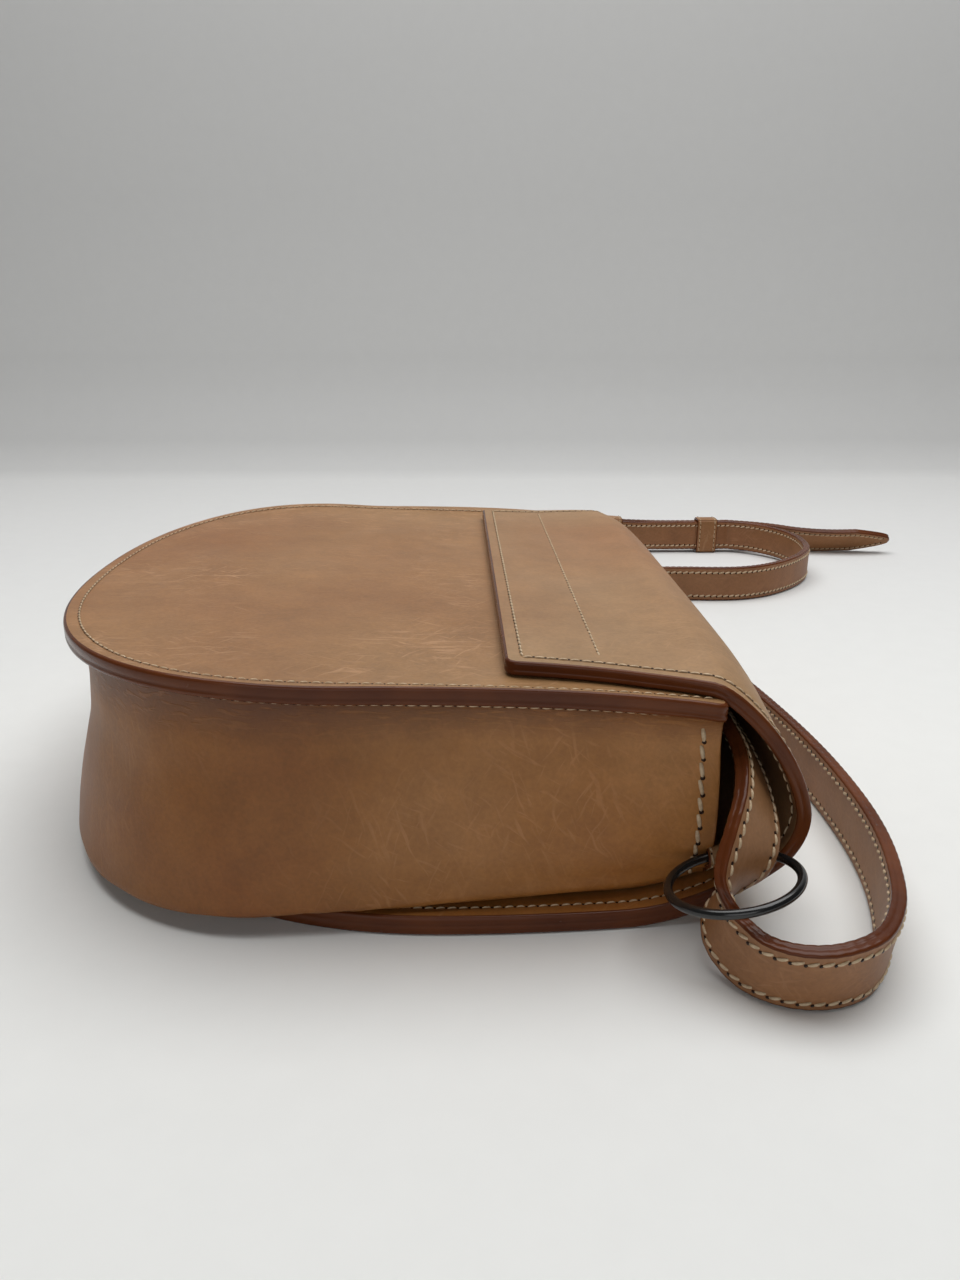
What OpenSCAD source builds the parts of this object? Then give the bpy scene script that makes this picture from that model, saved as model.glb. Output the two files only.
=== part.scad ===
// Saddle shoulder bag in natural leather, lying on its back.
// X runs from the rounded bottom to the mouth, Y across the bag, Z up out of the front.
// The origin is the middle of the flat back face.

/* [Bag body] */
// Width of the front panel, across Y
body_w = 225; // [205:1:245]
// Length of the front panel, from rounded bottom to mouth
body_l = 178; // [165:1:190]
// Thickness of the bag at the rounded bottom
body_t = 69.5; // [62:0.5:76]
// How much thinner the bag is at the mouth
mouth_drop = 8.5; // [4:0.5:12]
// Length of the rounded end of the front panel
nose_l = 75; // [65:1:90]
// How square the rounded end is, 2 is an ellipse
nose_power = 2.27; // [2:0.01:3]
// Widest part of the back panel
back_w = 229; // [215:1:245]
// Width of the back panel at the mouth
back_mouth_w = 219; // [205:1:229]
// Length of the rounded end of the back panel
back_nose_l = 110; // [95:1:120]
// How far the back panel stops short of the front one at the bottom
back_inset = 7; // [4:0.5:10]

/* [Leather] */
// Thickness of the front and back panels
panel_t = 3; // [2.4:0.1:3.6]
// Thickness of the gusset leather
gusset_t = 2.4; // [1.8:0.1:3]
// Thickness of the lining
lining_t = 0.8; // [0.6:0.1:1.2]
// Width of the turned-out seam flange
flange_w = 6.5; // [5:0.5:8]
// Thickness of the outer leather of the flap
flap_outer_t = 1.8; // [1.4:0.1:2.2]
// Thickness of the inner leather of the flap
flap_inner_t = 1.2; // [0.8:0.1:1.6]
// Gap between the closed flap and the front panel
flap_gap = 0.3; // [0.2:0.05:0.6]

/* [Flap] */
// Distance from the mouth to the front edge of the flap
flap_reach = 50; // [40:1:60]
// Width of the flap at its front edge
flap_front_w = 197; // [180:1:205]
// Width of the flap where it bends over the mouth
flap_bend_w = 215; // [205:1:220]
// Width of the flap at the outermost point of its roll
roll_w = 222; // [215:1:226]
// How far the roll of the flap stands out past the mouth
roll_reach = 25.5; // [22:0.5:30]
// Distance from the front edge of the flap to its second stitch line
tunnel_w = 24; // [18:1:30]
// Height that the back rises before the roll begins
back_rise = 7.3; // [5:0.1:9]

/* [Strap] */
// Width of the strap
strap_w = 18.4; // [16:0.2:20]
// Thickness of the outer leather of the strap
strap_outer_t = 1.9; // [1.6:0.1:2.2]
// Thickness of the inner leather of the strap
strap_inner_t = 1.7; // [1.4:0.1:2]
// Length of the tapered tip of the strap
tip_l = 24; // [16:1:30]
// Diameter of the adjusting holes
hole_d = 3; // [2.6:0.1:3.4]
// Distance between the adjusting holes
hole_pitch = 19; // [15:1:22]
// Thickness of the keeper leather
keeper_t = 1.3; // [1:0.1:1.5]
// Width of each keeper
keeper_w = 13; // [10:0.5:16]

/* [Metal] */
// Mean diameter of the strap rings
ring_d = 31; // [29:0.5:34]
// Diameter of the ring wire
ring_wire = 2.3; // [2:0.1:2.8]
// Diameter of the buckle wire
buckle_wire = 3; // [2.6:0.1:3.4]
// Distance between the two bars of the buckle
buckle_l = 20; // [18:0.5:24]
// Diameter of the buckle prong
prong_d = 2.1; // [1.8:0.1:2.4]
// Diameter of the flap magnets
magnet_d = 14; // [10:0.5:16]
// Thickness of a flap magnet
magnet_t = 1; // [0.8:0.1:1.2]

/* [Inside] */
// Width of the slip pocket
pocket_w = 130; // [100:1:150]
// Depth of the slip pocket
pocket_l = 85; // [60:1:95]
// Thickness of the pocket leather
pocket_t = 1.4; // [1:0.1:2]
// Width of the sewn edge of the pocket
pocket_welt = 7; // [5:0.5:10]
// Width of the facing strip at each side of the mouth
facing_w = 14; // [10:1:17]
// Thickness of the facing strip
facing_t = 1; // [0.8:0.1:1.4]
// Thickness of the stiffener in the flap
stiffener_t = 0.5; // [0.3:0.1:0.8]

/* [Hidden] */
$fn = 32;
tan_leather = [0.72, 0.52, 0.34];
side_leather = [0.62, 0.43, 0.27];
edge_brown = [0.36, 0.18, 0.11];
suede = [0.6, 0.47, 0.35];
black_metal = [0.08, 0.08, 0.09];
steel = [0.6, 0.6, 0.62];

// Small fits
seat = 0.02;
skin_gap = 0.3;
pin_gap = 0.06;
keeper_gap = 0.4;
overrun = 1;

// Heights of the panels
x_nose = -body_l / 2;
x_mouth = body_l / 2;
slope = mouth_drop / body_l;
slope_deg = atan(slope);
function front_top(x) = body_t - slope * (x - x_nose);
function front_under(x) = front_top(x) - panel_t / cos(slope_deg);

// The back lies flat, then rises towards the roll of the flap
split_x = x_mouth + flange_w * 1.4;
rise_x = split_x - flange_w * 4.6;
rise_shares = [0, 0.25, 0.5, 0.75, 1];
rise_table = [for (s = rise_shares) [rise_x + s * (split_x - rise_x), back_rise * s * s]];
function back_z(x) = lookup(x, rise_table);
function back_top(x) = back_z(x) + panel_t;

// Rounded outlines, written for the far half and mirrored
nose_steps = 10;
side_steps = 6;
function nose_point(a, w, l) =
    [l * (1 - pow(cos(a), 2 / nose_power)), w / 2 * pow(sin(a), 2 / nose_power)];
function nose_normal(a, w, l) =
    let (g = [-pow(cos(a), 2 - 2 / nose_power) / l, pow(sin(a), 2 - 2 / nose_power) / (w / 2)])
    g / norm(g);
function front_half(i) = i <= nose_steps
    ? nose_point(90 * i / nose_steps, body_w, nose_l) + [x_nose, 0]
    : [x_nose + nose_l + (x_mouth - x_nose - nose_l) * (i - nose_steps) / side_steps, body_w / 2];
function front_out(i) = i <= nose_steps
    ? nose_normal(90 * i / nose_steps, body_w, nose_l)
    : [0, 1];

// Half width of the back panel at a given X
back_x = x_nose + back_inset;
back_wide_x = back_x + back_nose_l;
function back_half_w(x) = x <= back_x ? 0
    : x < back_wide_x
    ? back_w / 2 * pow(1 - pow(1 - (x - back_x) / back_nose_l, nose_power), 1 / nose_power)
    : back_w / 2 - (back_w - back_mouth_w) / 2 * pow((x - back_wide_x) / (split_x - back_wide_x), 2);
function back_half(i) = i <= nose_steps
    ? nose_point(90 * i / nose_steps, 2 * back_half_w(front_half(nose_steps)[0]), nose_l - back_inset)
        + [back_x, 0]
    : [front_half(i)[0], back_half_w(front_half(i)[0])];

function flip(p) = [p[0], -p[1]];
function reversed(list) = [for (i = [len(list) - 1:-1:0]) list[i]];
function both_halves(half) = concat([for (p = reversed(half)) flip(p)],
    [for (i = [1:len(half) - 1]) half[i]]);

half_count = nose_steps + side_steps;
function front_outline(inset) =
    both_halves([for (i = [0:half_count]) front_half(i) - inset * front_out(i)]);
back_nose_steps = 12;
function back_plan(inset, x_end) = both_halves(concat(
    [for (i = [0:back_nose_steps])
        let (a = 90 * i / back_nose_steps)
        nose_point(a, back_w, back_nose_l) + [back_x, 0] - inset * nose_normal(a, back_w, back_nose_l)],
    [for (s = [0.25, 0.5, 0.75, 1])
        let (x = back_wide_x + s * (x_end - back_wide_x))
        [x, back_half_w(x) - inset]]));

// Side view of the back, between two heights above its outer face
function back_side(low, high) = concat(
    [[back_x - flange_w, low]],
    [for (p = rise_table) [p[0], p[1] + low]],
    [for (p = reversed(rise_table)) [p[0], p[1] + high]],
    [[back_x - flange_w, high]]);

module back_slab(low, high, inset, x_end) {
    intersection() {
        translate([0, body_w, 0])
        rotate([90, 0, 0])
        linear_extrude(2 * body_w)
        polygon(back_side(low, high));
        translate([0, 0, -body_t])
        linear_extrude(2 * body_t)
        polygon(back_plan(inset, x_end));
    }
}

// A plate that lies in the plane of the front panel, at a depth below its top
module front_frame(depth) {
    translate([x_nose, 0, body_t])
    rotate([0, slope_deg, 0])
    translate([-x_nose, 0, -depth])
    children();
}

module front_panel() {
    color(tan_leather)
    difference() {
        front_frame(panel_t)
        linear_extrude(panel_t)
        polygon(front_outline(0));
        panel_magnet_pockets(seat);
    }
}

module front_lining() {
    color(suede)
    front_frame(panel_t + seat + lining_t)
    linear_extrude(lining_t)
    polygon(front_outline(flange_w + gusset_t + 2 * lining_t));
}

module back_panel() {
    color(tan_leather)
    back_slab(0, panel_t, 0, split_x);
}

module back_lining() {
    color(suede)
    back_slab(panel_t + seat, panel_t + lining_t, 2 * flange_w + gusset_t, x_mouth + gusset_t);
}

// The gusset wall from the front seam down to the back seam.
// Each row: share from front to back outline, outward shift at bottom and at mouth in
// flange widths, height share at bottom and at mouth, then the inward step at bottom and at
// mouth in leather thicknesses.
wall_shares = [
    [0, -0.36, -0.8, 0.92, 0.91, -1, 0, -1, 0],
    [0, -0.45, -0.78, 0.81, 0.79, -1, 0, -1, 0],
    [0.05, -0.3, -0.5, 0.62, 0.62, -1, 0, -1, 0],
    [0.05, 0.1, -0.4, 0.44, 0.44, -1, 0, -1, 0],
    [0.05, 0.48, -0.5, 0.28, 0.3, -1, 0, -1, 0],
    [0.08, 0.82, -0.95, 0.11, 0.19, -1, 0.15, -0.95, 0.3],
    [0.15, 0.85, -1.05, 0.01, 0.13, -0.9, 0.9, -0.6, 0.8],
    [0.7, -0.1, -1.25, 0.055, 0.1, 0, 1, -0.3, 0.95]
];
function mouth_share(i) = pow(max(0, i - nose_steps / 2) / (half_count - nose_steps / 2), 1.5);
function mix(a, b, t) = a + (b - a) * t;
function front_at(i) = i < 0 ? flip(front_half(-i)) : front_half(i);
function back_at(i) = i < 0 ? flip(back_half(-i)) : back_half(i);
function out_at(i) = i < 0 ? flip(front_out(-i)) : front_out(i);
function seam_spot(i, share, shift) = mix(front_at(i), back_at(i), share) + shift * out_at(i);
function under_front(i, shift, drop) =
    let (p = seam_spot(i, 0, shift))
    [p[0], p[1], front_under(p[0]) - seat - drop];
function over_back(i, shift, lift) =
    let (p = seam_spot(i, 1, shift))
    [p[0], p[1], back_top(p[0]) + seat + lift];
function wall_point(i, row, depth) =
    let (
        m = mouth_share(abs(i)),
        shift = mix(row[1], row[2], m) * flange_w,
        p = seam_spot(i, row[0], shift + mix(row[5], row[7], m) * depth),
        height = mix(row[3], row[4], m),
        rise = mix(row[6], row[8], m) * depth
    )
    [p[0], p[1], mix(back_top(p[0]) + seat, front_under(p[0]) - seat, height) + rise];
function gusset_ring(i) = concat(
    [under_front(i, 0, 0), under_front(i, 0, gusset_t),
        under_front(i, -flange_w * 0.35, gusset_t * 1.5)],
    [for (row = wall_shares) wall_point(i, row, 0)],
    [over_back(i, -flange_w * 1.1, gusset_t * 1.1), over_back(i, 0, gusset_t), over_back(i, 0, 0),
        over_back(i, -flange_w * 1.1 - gusset_t, 0),
        over_back(i, -flange_w * 1.1 - gusset_t, gusset_t * 1.9)],
    [for (row = reversed(wall_shares)) wall_point(i, row, gusset_t)],
    [under_front(i, -flange_w * 0.86 - gusset_t, 0)]);
function wall_ring(i, outer, inner) = concat(
    [for (row = wall_shares) wall_point(i, row, outer)],
    [for (row = reversed(wall_shares)) wall_point(i, row, inner)]);

// End faces of a ring whose second half runs back along its first half
function strip_cap(n) = [for (j = [0:n / 2 - 2]) each [[j, j + 1, n - 1 - j], [j + 1, n - 2 - j, n - 1 - j]]];

// End faces of the gusset, from its front flange down its wall to its back flange
function gusset_cap(n, rows) = concat(
    [[0, 1, n - 1], [1, 2, n - 1], [2, 3, n - 1], [3, n - 2, n - 1]],
    [for (k = [3:rows + 1]) each [[k, k + 1, n + 1 - k], [k + 1, n - k, n + 1 - k]]],
    [for (t = [[0, 1, 6], [1, 5, 6], [1, 4, 5], [1, 2, 4], [2, 3, 4]]) [for (v = t) rows + 2 + v]]);

// Joins a row of equal closed rings into one solid. Turned, its faces are cut along the other
// diagonal, so that a layer meets the layer outside it.
module loft(rings, turned = false, cap = undef) {
    n = len(rings[0]);
    count = len(rings);
    points = [for (ring = rings) each ring];
    sides = [for (i = [0:count - 2], j = [0:n - 1])
        let (a = i * n + j, b = i * n + (j + 1) % n)
        each turned ? [[a, b, a + n], [b, b + n, a + n]] : [[a, b + n, a + n], [a, b, b + n]]];
    ends = is_undef(cap) ? strip_cap(n) : cap;
    polyhedron(points, concat(sides,
        [for (t = ends) reversed(t)],
        [for (t = ends) [for (v = t) (count - 1) * n + v]]));
}

module gusset() {
    rings = [for (i = [-half_count:half_count]) gusset_ring(i)];
    color(side_leather)
    loft(rings, cap = gusset_cap(len(rings[0]), len(wall_shares)));
}

module gusset_lining() {
    color(suede)
    loft([for (i = [-half_count:half_count]) wall_ring(i, gusset_t + seat, gusset_t + lining_t)],
        turned = true);
}

// A facing strip inside one side of the mouth, laid along the last stretch of the lining
facing_share = facing_w * side_steps / (x_mouth - x_nose - nose_l);
module mouth_facing(side) {
    deep = gusset_t + lining_t + 2 * skin_gap;
    inner_end = wall_ring(side * (half_count - 1), deep, deep + facing_t);
    mouth_end = wall_ring(side * half_count, deep, deep + facing_t);
    start = mix(mouth_end, inner_end, facing_share);
    color(tan_leather)
    loft(side > 0 ? [start, mouth_end] : [mouth_end, start], turned = true);
}

pocket_x = x_mouth - flange_w * 3.5 - pocket_l;
pocket_z = panel_t + lining_t + seat;
pocket_gap = pocket_t;
module inner_pocket() {
    color(suede) {
        translate([pocket_x, -pocket_w / 2, pocket_z + pocket_gap])
        cube([pocket_l, pocket_w, pocket_t]);
        translate([pocket_x, -pocket_w / 2, pocket_z])
        cube([pocket_welt, pocket_w, pocket_gap]);
        for (y = [-pocket_w / 2, pocket_w / 2 - pocket_welt])
            translate([pocket_x, y, pocket_z])
            cube([pocket_l, pocket_welt, pocket_gap]);
    }
}

// Magnets, at the same places in the front panel and in the flap
flap_x = x_mouth - flap_reach;
magnet_x = flap_x + tunnel_w / 2;
magnet_y = flap_front_w / 4;
module magnet_discs(depth, gap) {
    for (side = [-1, 1])
        front_frame(depth)
        translate([magnet_x, side * magnet_y, 0])
        cylinder(d = magnet_d + 2 * gap, h = magnet_t + gap);
}

module panel_magnet_pockets(gap) {
    magnet_discs(panel_t + gap, gap);
}

module panel_magnets() {
    color(steel)
    magnet_discs(panel_t, 0);
}

// The flap lies on the front panel, bends over the mouth and rolls round to the back
flap_t = flap_outer_t + flap_inner_t;
hinge_x = x_mouth - flap_t;
function flap_top(x) = front_top(x) + (flap_gap + flap_t) / cos(slope_deg);
flap_shares = [[0, 0], [0.25, 0.1], [0.5, 0.3], [0.75, 0.65], [1, 1]];
flap_side = [for (s = flap_shares)
    let (x = mix(flap_x, hinge_x, s[0]))
    [x, flap_top(x), mix(flap_front_w, flap_bend_w, s[1]) / 2, -sin(slope_deg), -cos(slope_deg)]];

// Roll of the flap: share of its reach past the mouth, share of the height at the mouth, and
// share of the way from the width at the bend to the width at the outermost point
roll_shares = [
    [0.04, 0.999, 0.3], [0.216, 0.967, 0.5], [0.392, 0.916, 0.65], [0.561, 0.847, 0.8],
    [0.718, 0.755, 0.9], [0.855, 0.651, 1], [0.957, 0.547, 1]
];
base_shares = [[0.965, 0.361, 0.9], [0.847, 0.268, 0.75], [0.647, 0.19, 0.6]];
turn_share = 0.457;
function roll_row(s) = [x_mouth + s[0] * roll_reach, s[1] * flap_top(x_mouth),
    mix(flap_bend_w, roll_w, s[2]) / 2];
turn_z = turn_share * flap_top(x_mouth);
turn_row = [x_mouth + roll_reach, turn_z, roll_w / 2, -1, 0];
shoulder_row = [hinge_x, flap_top(hinge_x), flap_bend_w / 2, -sin(slope_deg), -cos(slope_deg)];
roll_side = concat([shoulder_row], [for (s = roll_shares) roll_row(s)], [turn_row]);
base_side = concat([turn_row], [for (s = base_shares) roll_row(s)],
    [[split_x, back_rise, back_half_w(split_x), 0, 1]]);

// A skin that follows a side view, between two depths below its outer face.
// The first and last points are moved along the skin by the trims. A row holds X, Z and half
// the width, and at a cut edge the direction across the leather.
function unit(v) = v / norm(v);
function inward(list, i) =
    let (
        a = list[max(i - 1, 0)],
        b = list[min(i + 1, len(list) - 1)],
        t = unit([b[0] - a[0], b[1] - a[1]])
    )
    len(list[i]) > 3 ? [list[i][3], list[i][4]] : [t[1], -t[0]];
function skin_ring(list, i, low, high, trim) =
    let (
        n = inward(list, i),
        along = [-n[1], n[0]],
        p = [list[i][0], list[i][1]] + trim * along,
        a = p + low * n,
        b = p + high * n,
        w = list[i][2]
    )
    [[a[0], -w, a[1]], [a[0], w, a[1]], [b[0], w, b[1]], [b[0], -w, b[1]]];
module skin(list, low, high, trim_a, trim_b) {
    last = len(list) - 1;
    loft([for (i = [0:last])
        skin_ring(list, i, low, high, i == 0 ? trim_a : i == last ? -trim_b : 0)]);
}

module flap_front() {
    color(tan_leather)
    difference() {
        skin(flap_side, 0, flap_outer_t, 0, skin_gap / 2);
        magnet_discs(-flap_gap - flap_inner_t, seat);
    }
}

module flap_magnets() {
    color(steel)
    magnet_discs(-flap_gap - flap_inner_t - seat, 0);
}

module stiffener_plate(gap) {
    front_frame(-flap_gap - flap_inner_t + stiffener_t + gap)
    translate([flap_x + tunnel_w / 8, -flap_front_w * 0.45, 0])
    cube([tunnel_w * 0.75, flap_front_w * 0.9, stiffener_t]);
}

module flap_front_lining() {
    color(edge_brown)
    difference() {
        skin(flap_side, flap_outer_t + seat, flap_t, 0, skin_gap / 2);
        stiffener_cut();
    }
}

module stiffener_cut() {
    front_frame(-flap_gap - flap_inner_t + stiffener_t + 2 * seat)
    translate([flap_x + tunnel_w / 8 - seat, -flap_front_w * 0.45 - seat, 0])
    cube([tunnel_w * 0.75 + 2 * seat, flap_front_w * 0.9 + 2 * seat, stiffener_t + overrun]);
}

module flap_stiffener() {
    color(steel)
    stiffener_plate(seat);
}

module flap_roll() {
    color(tan_leather)
    skin(roll_side, 0, flap_outer_t, skin_gap / 2, skin_gap / 2);
}

module flap_roll_lining() {
    color(edge_brown)
    skin(roll_side, flap_outer_t + seat, flap_t, skin_gap / 2, skin_gap / 2);
}

module roll_base() {
    color(tan_leather)
    skin(base_side, 0, flap_outer_t, skin_gap / 2, seat);
}

module roll_base_lining() {
    color(edge_brown)
    skin(base_side, flap_outer_t + seat, flap_t, skin_gap / 2, seat);
}

// Round strap rings, held by a leather tab at the back of the mouth
ring_tilt = 11.5;
ring_lift = 8;
ring_at = [x_mouth + ring_d * 0.1, body_w / 2 + ring_d * 0.375, strap_w * 1.14];
ring_pin = ring_at + [0, -ring_d / 2 * cos(ring_lift), -ring_d / 2 * sin(ring_lift)];
module ring_far() {
    color(black_metal)
    translate(ring_at)
    rotate([ring_lift, 0, 0])
    rotate([0, -ring_tilt, 0])
    rotate_extrude($fn = 48)
    translate([ring_d / 2, 0])
    circle(d = ring_wire);
}

module ring_near() {
    mirror([0, 1, 0])
    ring_far();
}

// The tab is one strip folded round the ring wire and sewn to the back inside the roll
tab_t = lining_t * 1.5;
tab_w = ring_wire * 2.2;
tab_gap = pin_gap + tab_w * tab_w / (4 * ring_d);
tab_r = ring_wire / 2 + tab_gap + tab_t;
foot_l = ring_d * 0.4;
foot_x = ring_pin[0] + ring_wire * 0.9;
foot_y = ring_pin[1] - ring_d * 0.35;
foot_slope = atan((back_top(foot_x + tab_w / 2) - back_top(foot_x - tab_w / 2)) / tab_w);
module at_ring_pin() {
    translate(ring_pin)
    rotate([ring_lift, 0, 0])
    rotate([0, -ring_tilt, 0])
    children();
}
strip_w = tab_w * 0.9;
module on_foot() {
    translate([foot_x, foot_y, back_top(foot_x) + seat])
    rotate([0, -foot_slope, 0])
    children();
}
module ring_tab_far() {
    color(tan_leather)
    difference() {
        union() {
            at_ring_pin()
            rotate([0, 90, 0])
            cylinder(r = tab_r, h = tab_w, center = true);
            hull() {
                at_ring_pin()
                translate([-strip_w / 2, -tab_r, -tab_t])
                cube([strip_w, tab_t, 2 * tab_t]);
                on_foot()
                translate([-strip_w / 2, -tab_t, tab_t / 2])
                cube([strip_w, tab_t * 1.5, tab_t]);
            }
            on_foot()
            translate([-tab_w / 2, -foot_l, 0])
            cube([tab_w, foot_l + tab_t, 2 * tab_t]);
        }
        at_ring_pin()
        rotate([0, 90, 0])
        cylinder(r = ring_wire / 2 + tab_gap, h = 2 * tab_w, center = true);
    }
}

module ring_tab_near() {
    mirror([0, 1, 0])
    ring_tab_far();
}

// Route of the strap. Each row: X in half lengths of the body, Y in half widths, height of the
// middle in strap widths, then the direction from the lower edge to the upper edge.
// The twist leads from inside the roll, through a ring, to the surface the bag lies on.
twist_shares = [
    [1.121, 0.22, 2.42, -0.6, 0, 0.8],
    [1.121, 0.5, 2.41, -0.6, 0, 0.8],
    [1.126, 0.732, 2.36, -0.59, 0.13, 0.8],
    [1.135, 0.897, 2.16, -0.52, 0.35, 0.78],
    [1.118, 1.007, 1.93, -0.61, 0.37, 0.7],
    [1.087, 1.074, 1.66, -0.72, 0.36, 0.58],
    [1.053, 1.105, 1.37, -0.72, 0.47, 0.52],
    [1.017, 1.117, 1.14, -0.45, 0.72, 0.52],
    [0.996, 1.137, 0.88, 0.05, 0.84, 0.54]
];
near_shares = [
    [1.006, -1.178, 0.655, 0.3, -0.62, 0.72],
    [1.052, -1.233, 0.52, 0.2, -0.38, 0.9],
    [1.135, -1.274, 0.5, 0.11, -0.27, 0.96],
    [1.242, -1.279, 0.505, 0.05, -0.2, 0.98],
    [1.356, -1.237, 0.51, 0.08, -0.14, 0.99],
    [1.449, -1.138, 0.51, 0.1, -0.07, 1],
    [1.511, -1.013, 0.51, 0.08, -0.03, 1],
    [1.557, -0.871, 0.51, 0.05, 0, 1],
    [1.584, -0.711, 0.51, 0.02, 0, 1],
    [1.593, -0.516, 0.51, 0, 0, 1],
    [1.584, -0.32, 0.51, 0, 0, 1],
    [1.558, -0.107, 0.51, 0, 0, 1],
    [1.517, 0.133, 0.51, 0, 0, 1],
    [1.461, 0.4, 0.51, 0, 0, 1],
    [1.404, 0.667, 0.51, 0, 0, 1],
    [1.348, 0.9, 0.51, 0, 0, 1],
    [1.3, 1.107, 0.51, 0, 0, 1],
    [1.275, 1.28, 0.51, 0, 0, 1],
    [1.294, 1.449, 0.51, 0, 0, 1],
    [1.388, 1.591, 0.51, 0, 0, 1],
    [1.54, 1.65, 0.51, 0, 0, 1],
    [1.71, 1.653, 0.51, 0, 0, 1],
    [1.89, 1.643, 0.51, 0, 0, 1],
    [2.067, 1.653, 0.51, 0, 0, 1],
    [2.24, 1.711, 0.51, 0, 0, 1],
    [2.404, 1.813, 0.51, 0, 0, 1],
    [2.539, 1.933, 0.515, 0, 0, 1],
    [2.635, 2.062, 0.525, 0, 0, 1],
    [2.674, 2.204, 0.54, 0, 0, 1],
    [2.669, 2.347, 0.56, 0, 0, 1],
    [2.607, 2.484, 0.58, 0, 0, 1],
    [2.483, 2.596, 0.6, 0, 0, 1]
];
// The rest of the route is set by the buckle and its keepers
buckle_x = 1.011 * x_mouth;
heel_x = buckle_x + buckle_l;
strand_y = 2.658 * body_w / 2;
strap_t = strap_outer_t + strap_inner_t;
lap_y = strand_y + strap_t + keeper_gap;
buckle_half = strap_w / 2 + buckle_wire * 0.5;
buckle_z = buckle_half + buckle_wire + skin_gap;
keeper_z = strap_w / 2 + keeper_gap + keeper_t + skin_gap;
fixed_x = heel_x + keeper_w * 1.45;
sliding_x = heel_x + keeper_w * 6.3;
slide_back = keeper_w * 2.7;
level_x = fixed_x + keeper_w * 1.2;
strand_slope = atan((buckle_z - keeper_z) / (level_x - heel_x));
function strand_z(x) = lookup(x, [[heel_x, buckle_z], [level_x, keeper_z],
    [sliding_x + keeper_w, keeper_z]]);
function strand_row(x) = [x, strand_y, strand_z(x), 0, 0, 1];
straight_x = sliding_x + keeper_w * 0.6;
strand_rows = [for (x = [sliding_x + keeper_w * 1.2, straight_x, fixed_x + keeper_w * 2.5,
    fixed_x + keeper_w * 1.1, fixed_x, heel_x + buckle_wire * 1.1]) strand_row(x)];
// After the far ring the strap turns back behind the bag to the buckle
far_shares = [
    [0.974, 1.205, 0.59, 0.2, 0.32, 0.93],
    [0.935, 1.289, 0.54, 0.25, 0.15, 0.95],
    [0.893, 1.422, 0.51, 0.08, 0, 1],
    [0.854, 1.6, 0.51, 0, 0, 1],
    [0.82, 1.82, 0.51, 0, 0, 1],
    [0.798, 2.05, 0.52, 0, 0, 1],
    [0.8, 2.27, 0.58, 0, 0, 1],
    [0.848, 2.46, 0.66, 0, 0, 1]
];
// The lap passes inside the first bar of the buckle and outside the second
lap_in = strand_y - buckle_wire / 2 - strap_t / 2 - 2 * keeper_gap;
lap_out = strand_y + buckle_wire / 2 + keeper_t + strap_t / 2 + 3 * keeper_gap;
lap_rows = [
    [buckle_x - buckle_l * 0.4, lap_in - strap_t * 0.55, buckle_z - gusset_t / 3, 0, 0, 1],
    [buckle_x, lap_in, buckle_z, 0, 0, 1],
    [buckle_x + buckle_l / 2, mix(lap_in, lap_out, 0.5), buckle_z, 0, 0, 1],
    [heel_x, lap_out, strand_z(heel_x), 0, 0, 1],
    [heel_x + buckle_l * 0.4, mix(lap_out, lap_y, 0.8), strand_z(heel_x + buckle_l * 0.4), 0, 0, 1],
    [fixed_x, lap_y, strand_z(fixed_x), 0, 0, 1],
    [fixed_x + keeper_w * 2.5, lap_y, keeper_z, 0, 0, 1],
    [straight_x, lap_y, keeper_z, 0, 0, 1],
    [sliding_x + keeper_w * 1.2, lap_y, keeper_z, 0, 0, 1]
];
// The free tail, in strap widths past the sliding keeper, below the lap line, and up
tail_shares = [
    [2.2, -0.13, 0.54, 0, -0.28, 0.96],
    [3.2, -0.3, 0.47, 0, -0.48, 0.88],
    [4.2, -0.42, 0.45, 0, -0.58, 0.81],
    [5.2, -0.48, 0.47, 0, -0.6, 0.8]
];
tail_end = [sliding_x + strap_w * 5.2 + tip_l, lap_y - strap_w * 0.54, strap_w * 0.52];
tail_rows = concat(
    [for (s = tail_shares) [sliding_x + s[0] * strap_w, lap_y + s[1] * strap_w, s[2] * strap_w,
        s[3], s[4], s[5]]],
    [[tail_end[0], tail_end[1], tail_end[2], 0, -0.6, 0.8]]);

function route_row(s) = [s[0] * x_mouth, s[1] * body_w / 2, s[2] * strap_w, s[3], s[4], s[5]];
function near_side(s) = [s[0], -s[1], s[2], s[3], -s[4], s[5]];
route = concat(
    reversed(strand_rows),
    [for (s = reversed(near_shares)) route_row(s)],
    [for (s = reversed(twist_shares)) route_row(near_side(s))],
    [for (s = twist_shares) route_row(s)],
    [for (s = far_shares) route_row(s)],
    lap_rows,
    tail_rows);

// A smooth curve through the rows
function bend(a, b, c, d, t) = ((2 * b) + (c - a) * t + (2 * a - 5 * b + 4 * c - d) * t * t
    + (3 * b - a - 3 * c + d) * t * t * t) / 2;
route_steps = 2;
last_row = len(route) - 1;
fine = concat(
    [for (i = [0:last_row - 1], k = [0:route_steps - 1])
        bend(route[max(i - 1, 0)], route[i], route[i + 1], route[min(i + 2, last_row)],
            k / route_steps)],
    [route[last_row]]);
fine_count = len(fine);
function middle(i) = [fine[i][0], fine[i][1], fine[i][2]];
function rise_dir(i) = unit([fine[i][3], fine[i][4], fine[i][5]]);
function route_dir(i) = unit(middle(min(i + 1, fine_count - 1)) - middle(max(i - 1, 0)));
// Outward side of the strap
function face_dir(i) = unit(cross(rise_dir(i), route_dir(i)));
function tip_share(i) = i < fine_count - route_steps - 1 ? 1
    : i == fine_count - 1 ? 0.12 : i == fine_count - 2 ? 0.72 : 0.97;
function strap_ring(i, low, high) =
    let (c = middle(i), up = rise_dir(i) * strap_w / 2 * tip_share(i), n = face_dir(i))
    [c - up + n * low, c + up + n * low, c + up + n * high, c - up + n * high];

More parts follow.
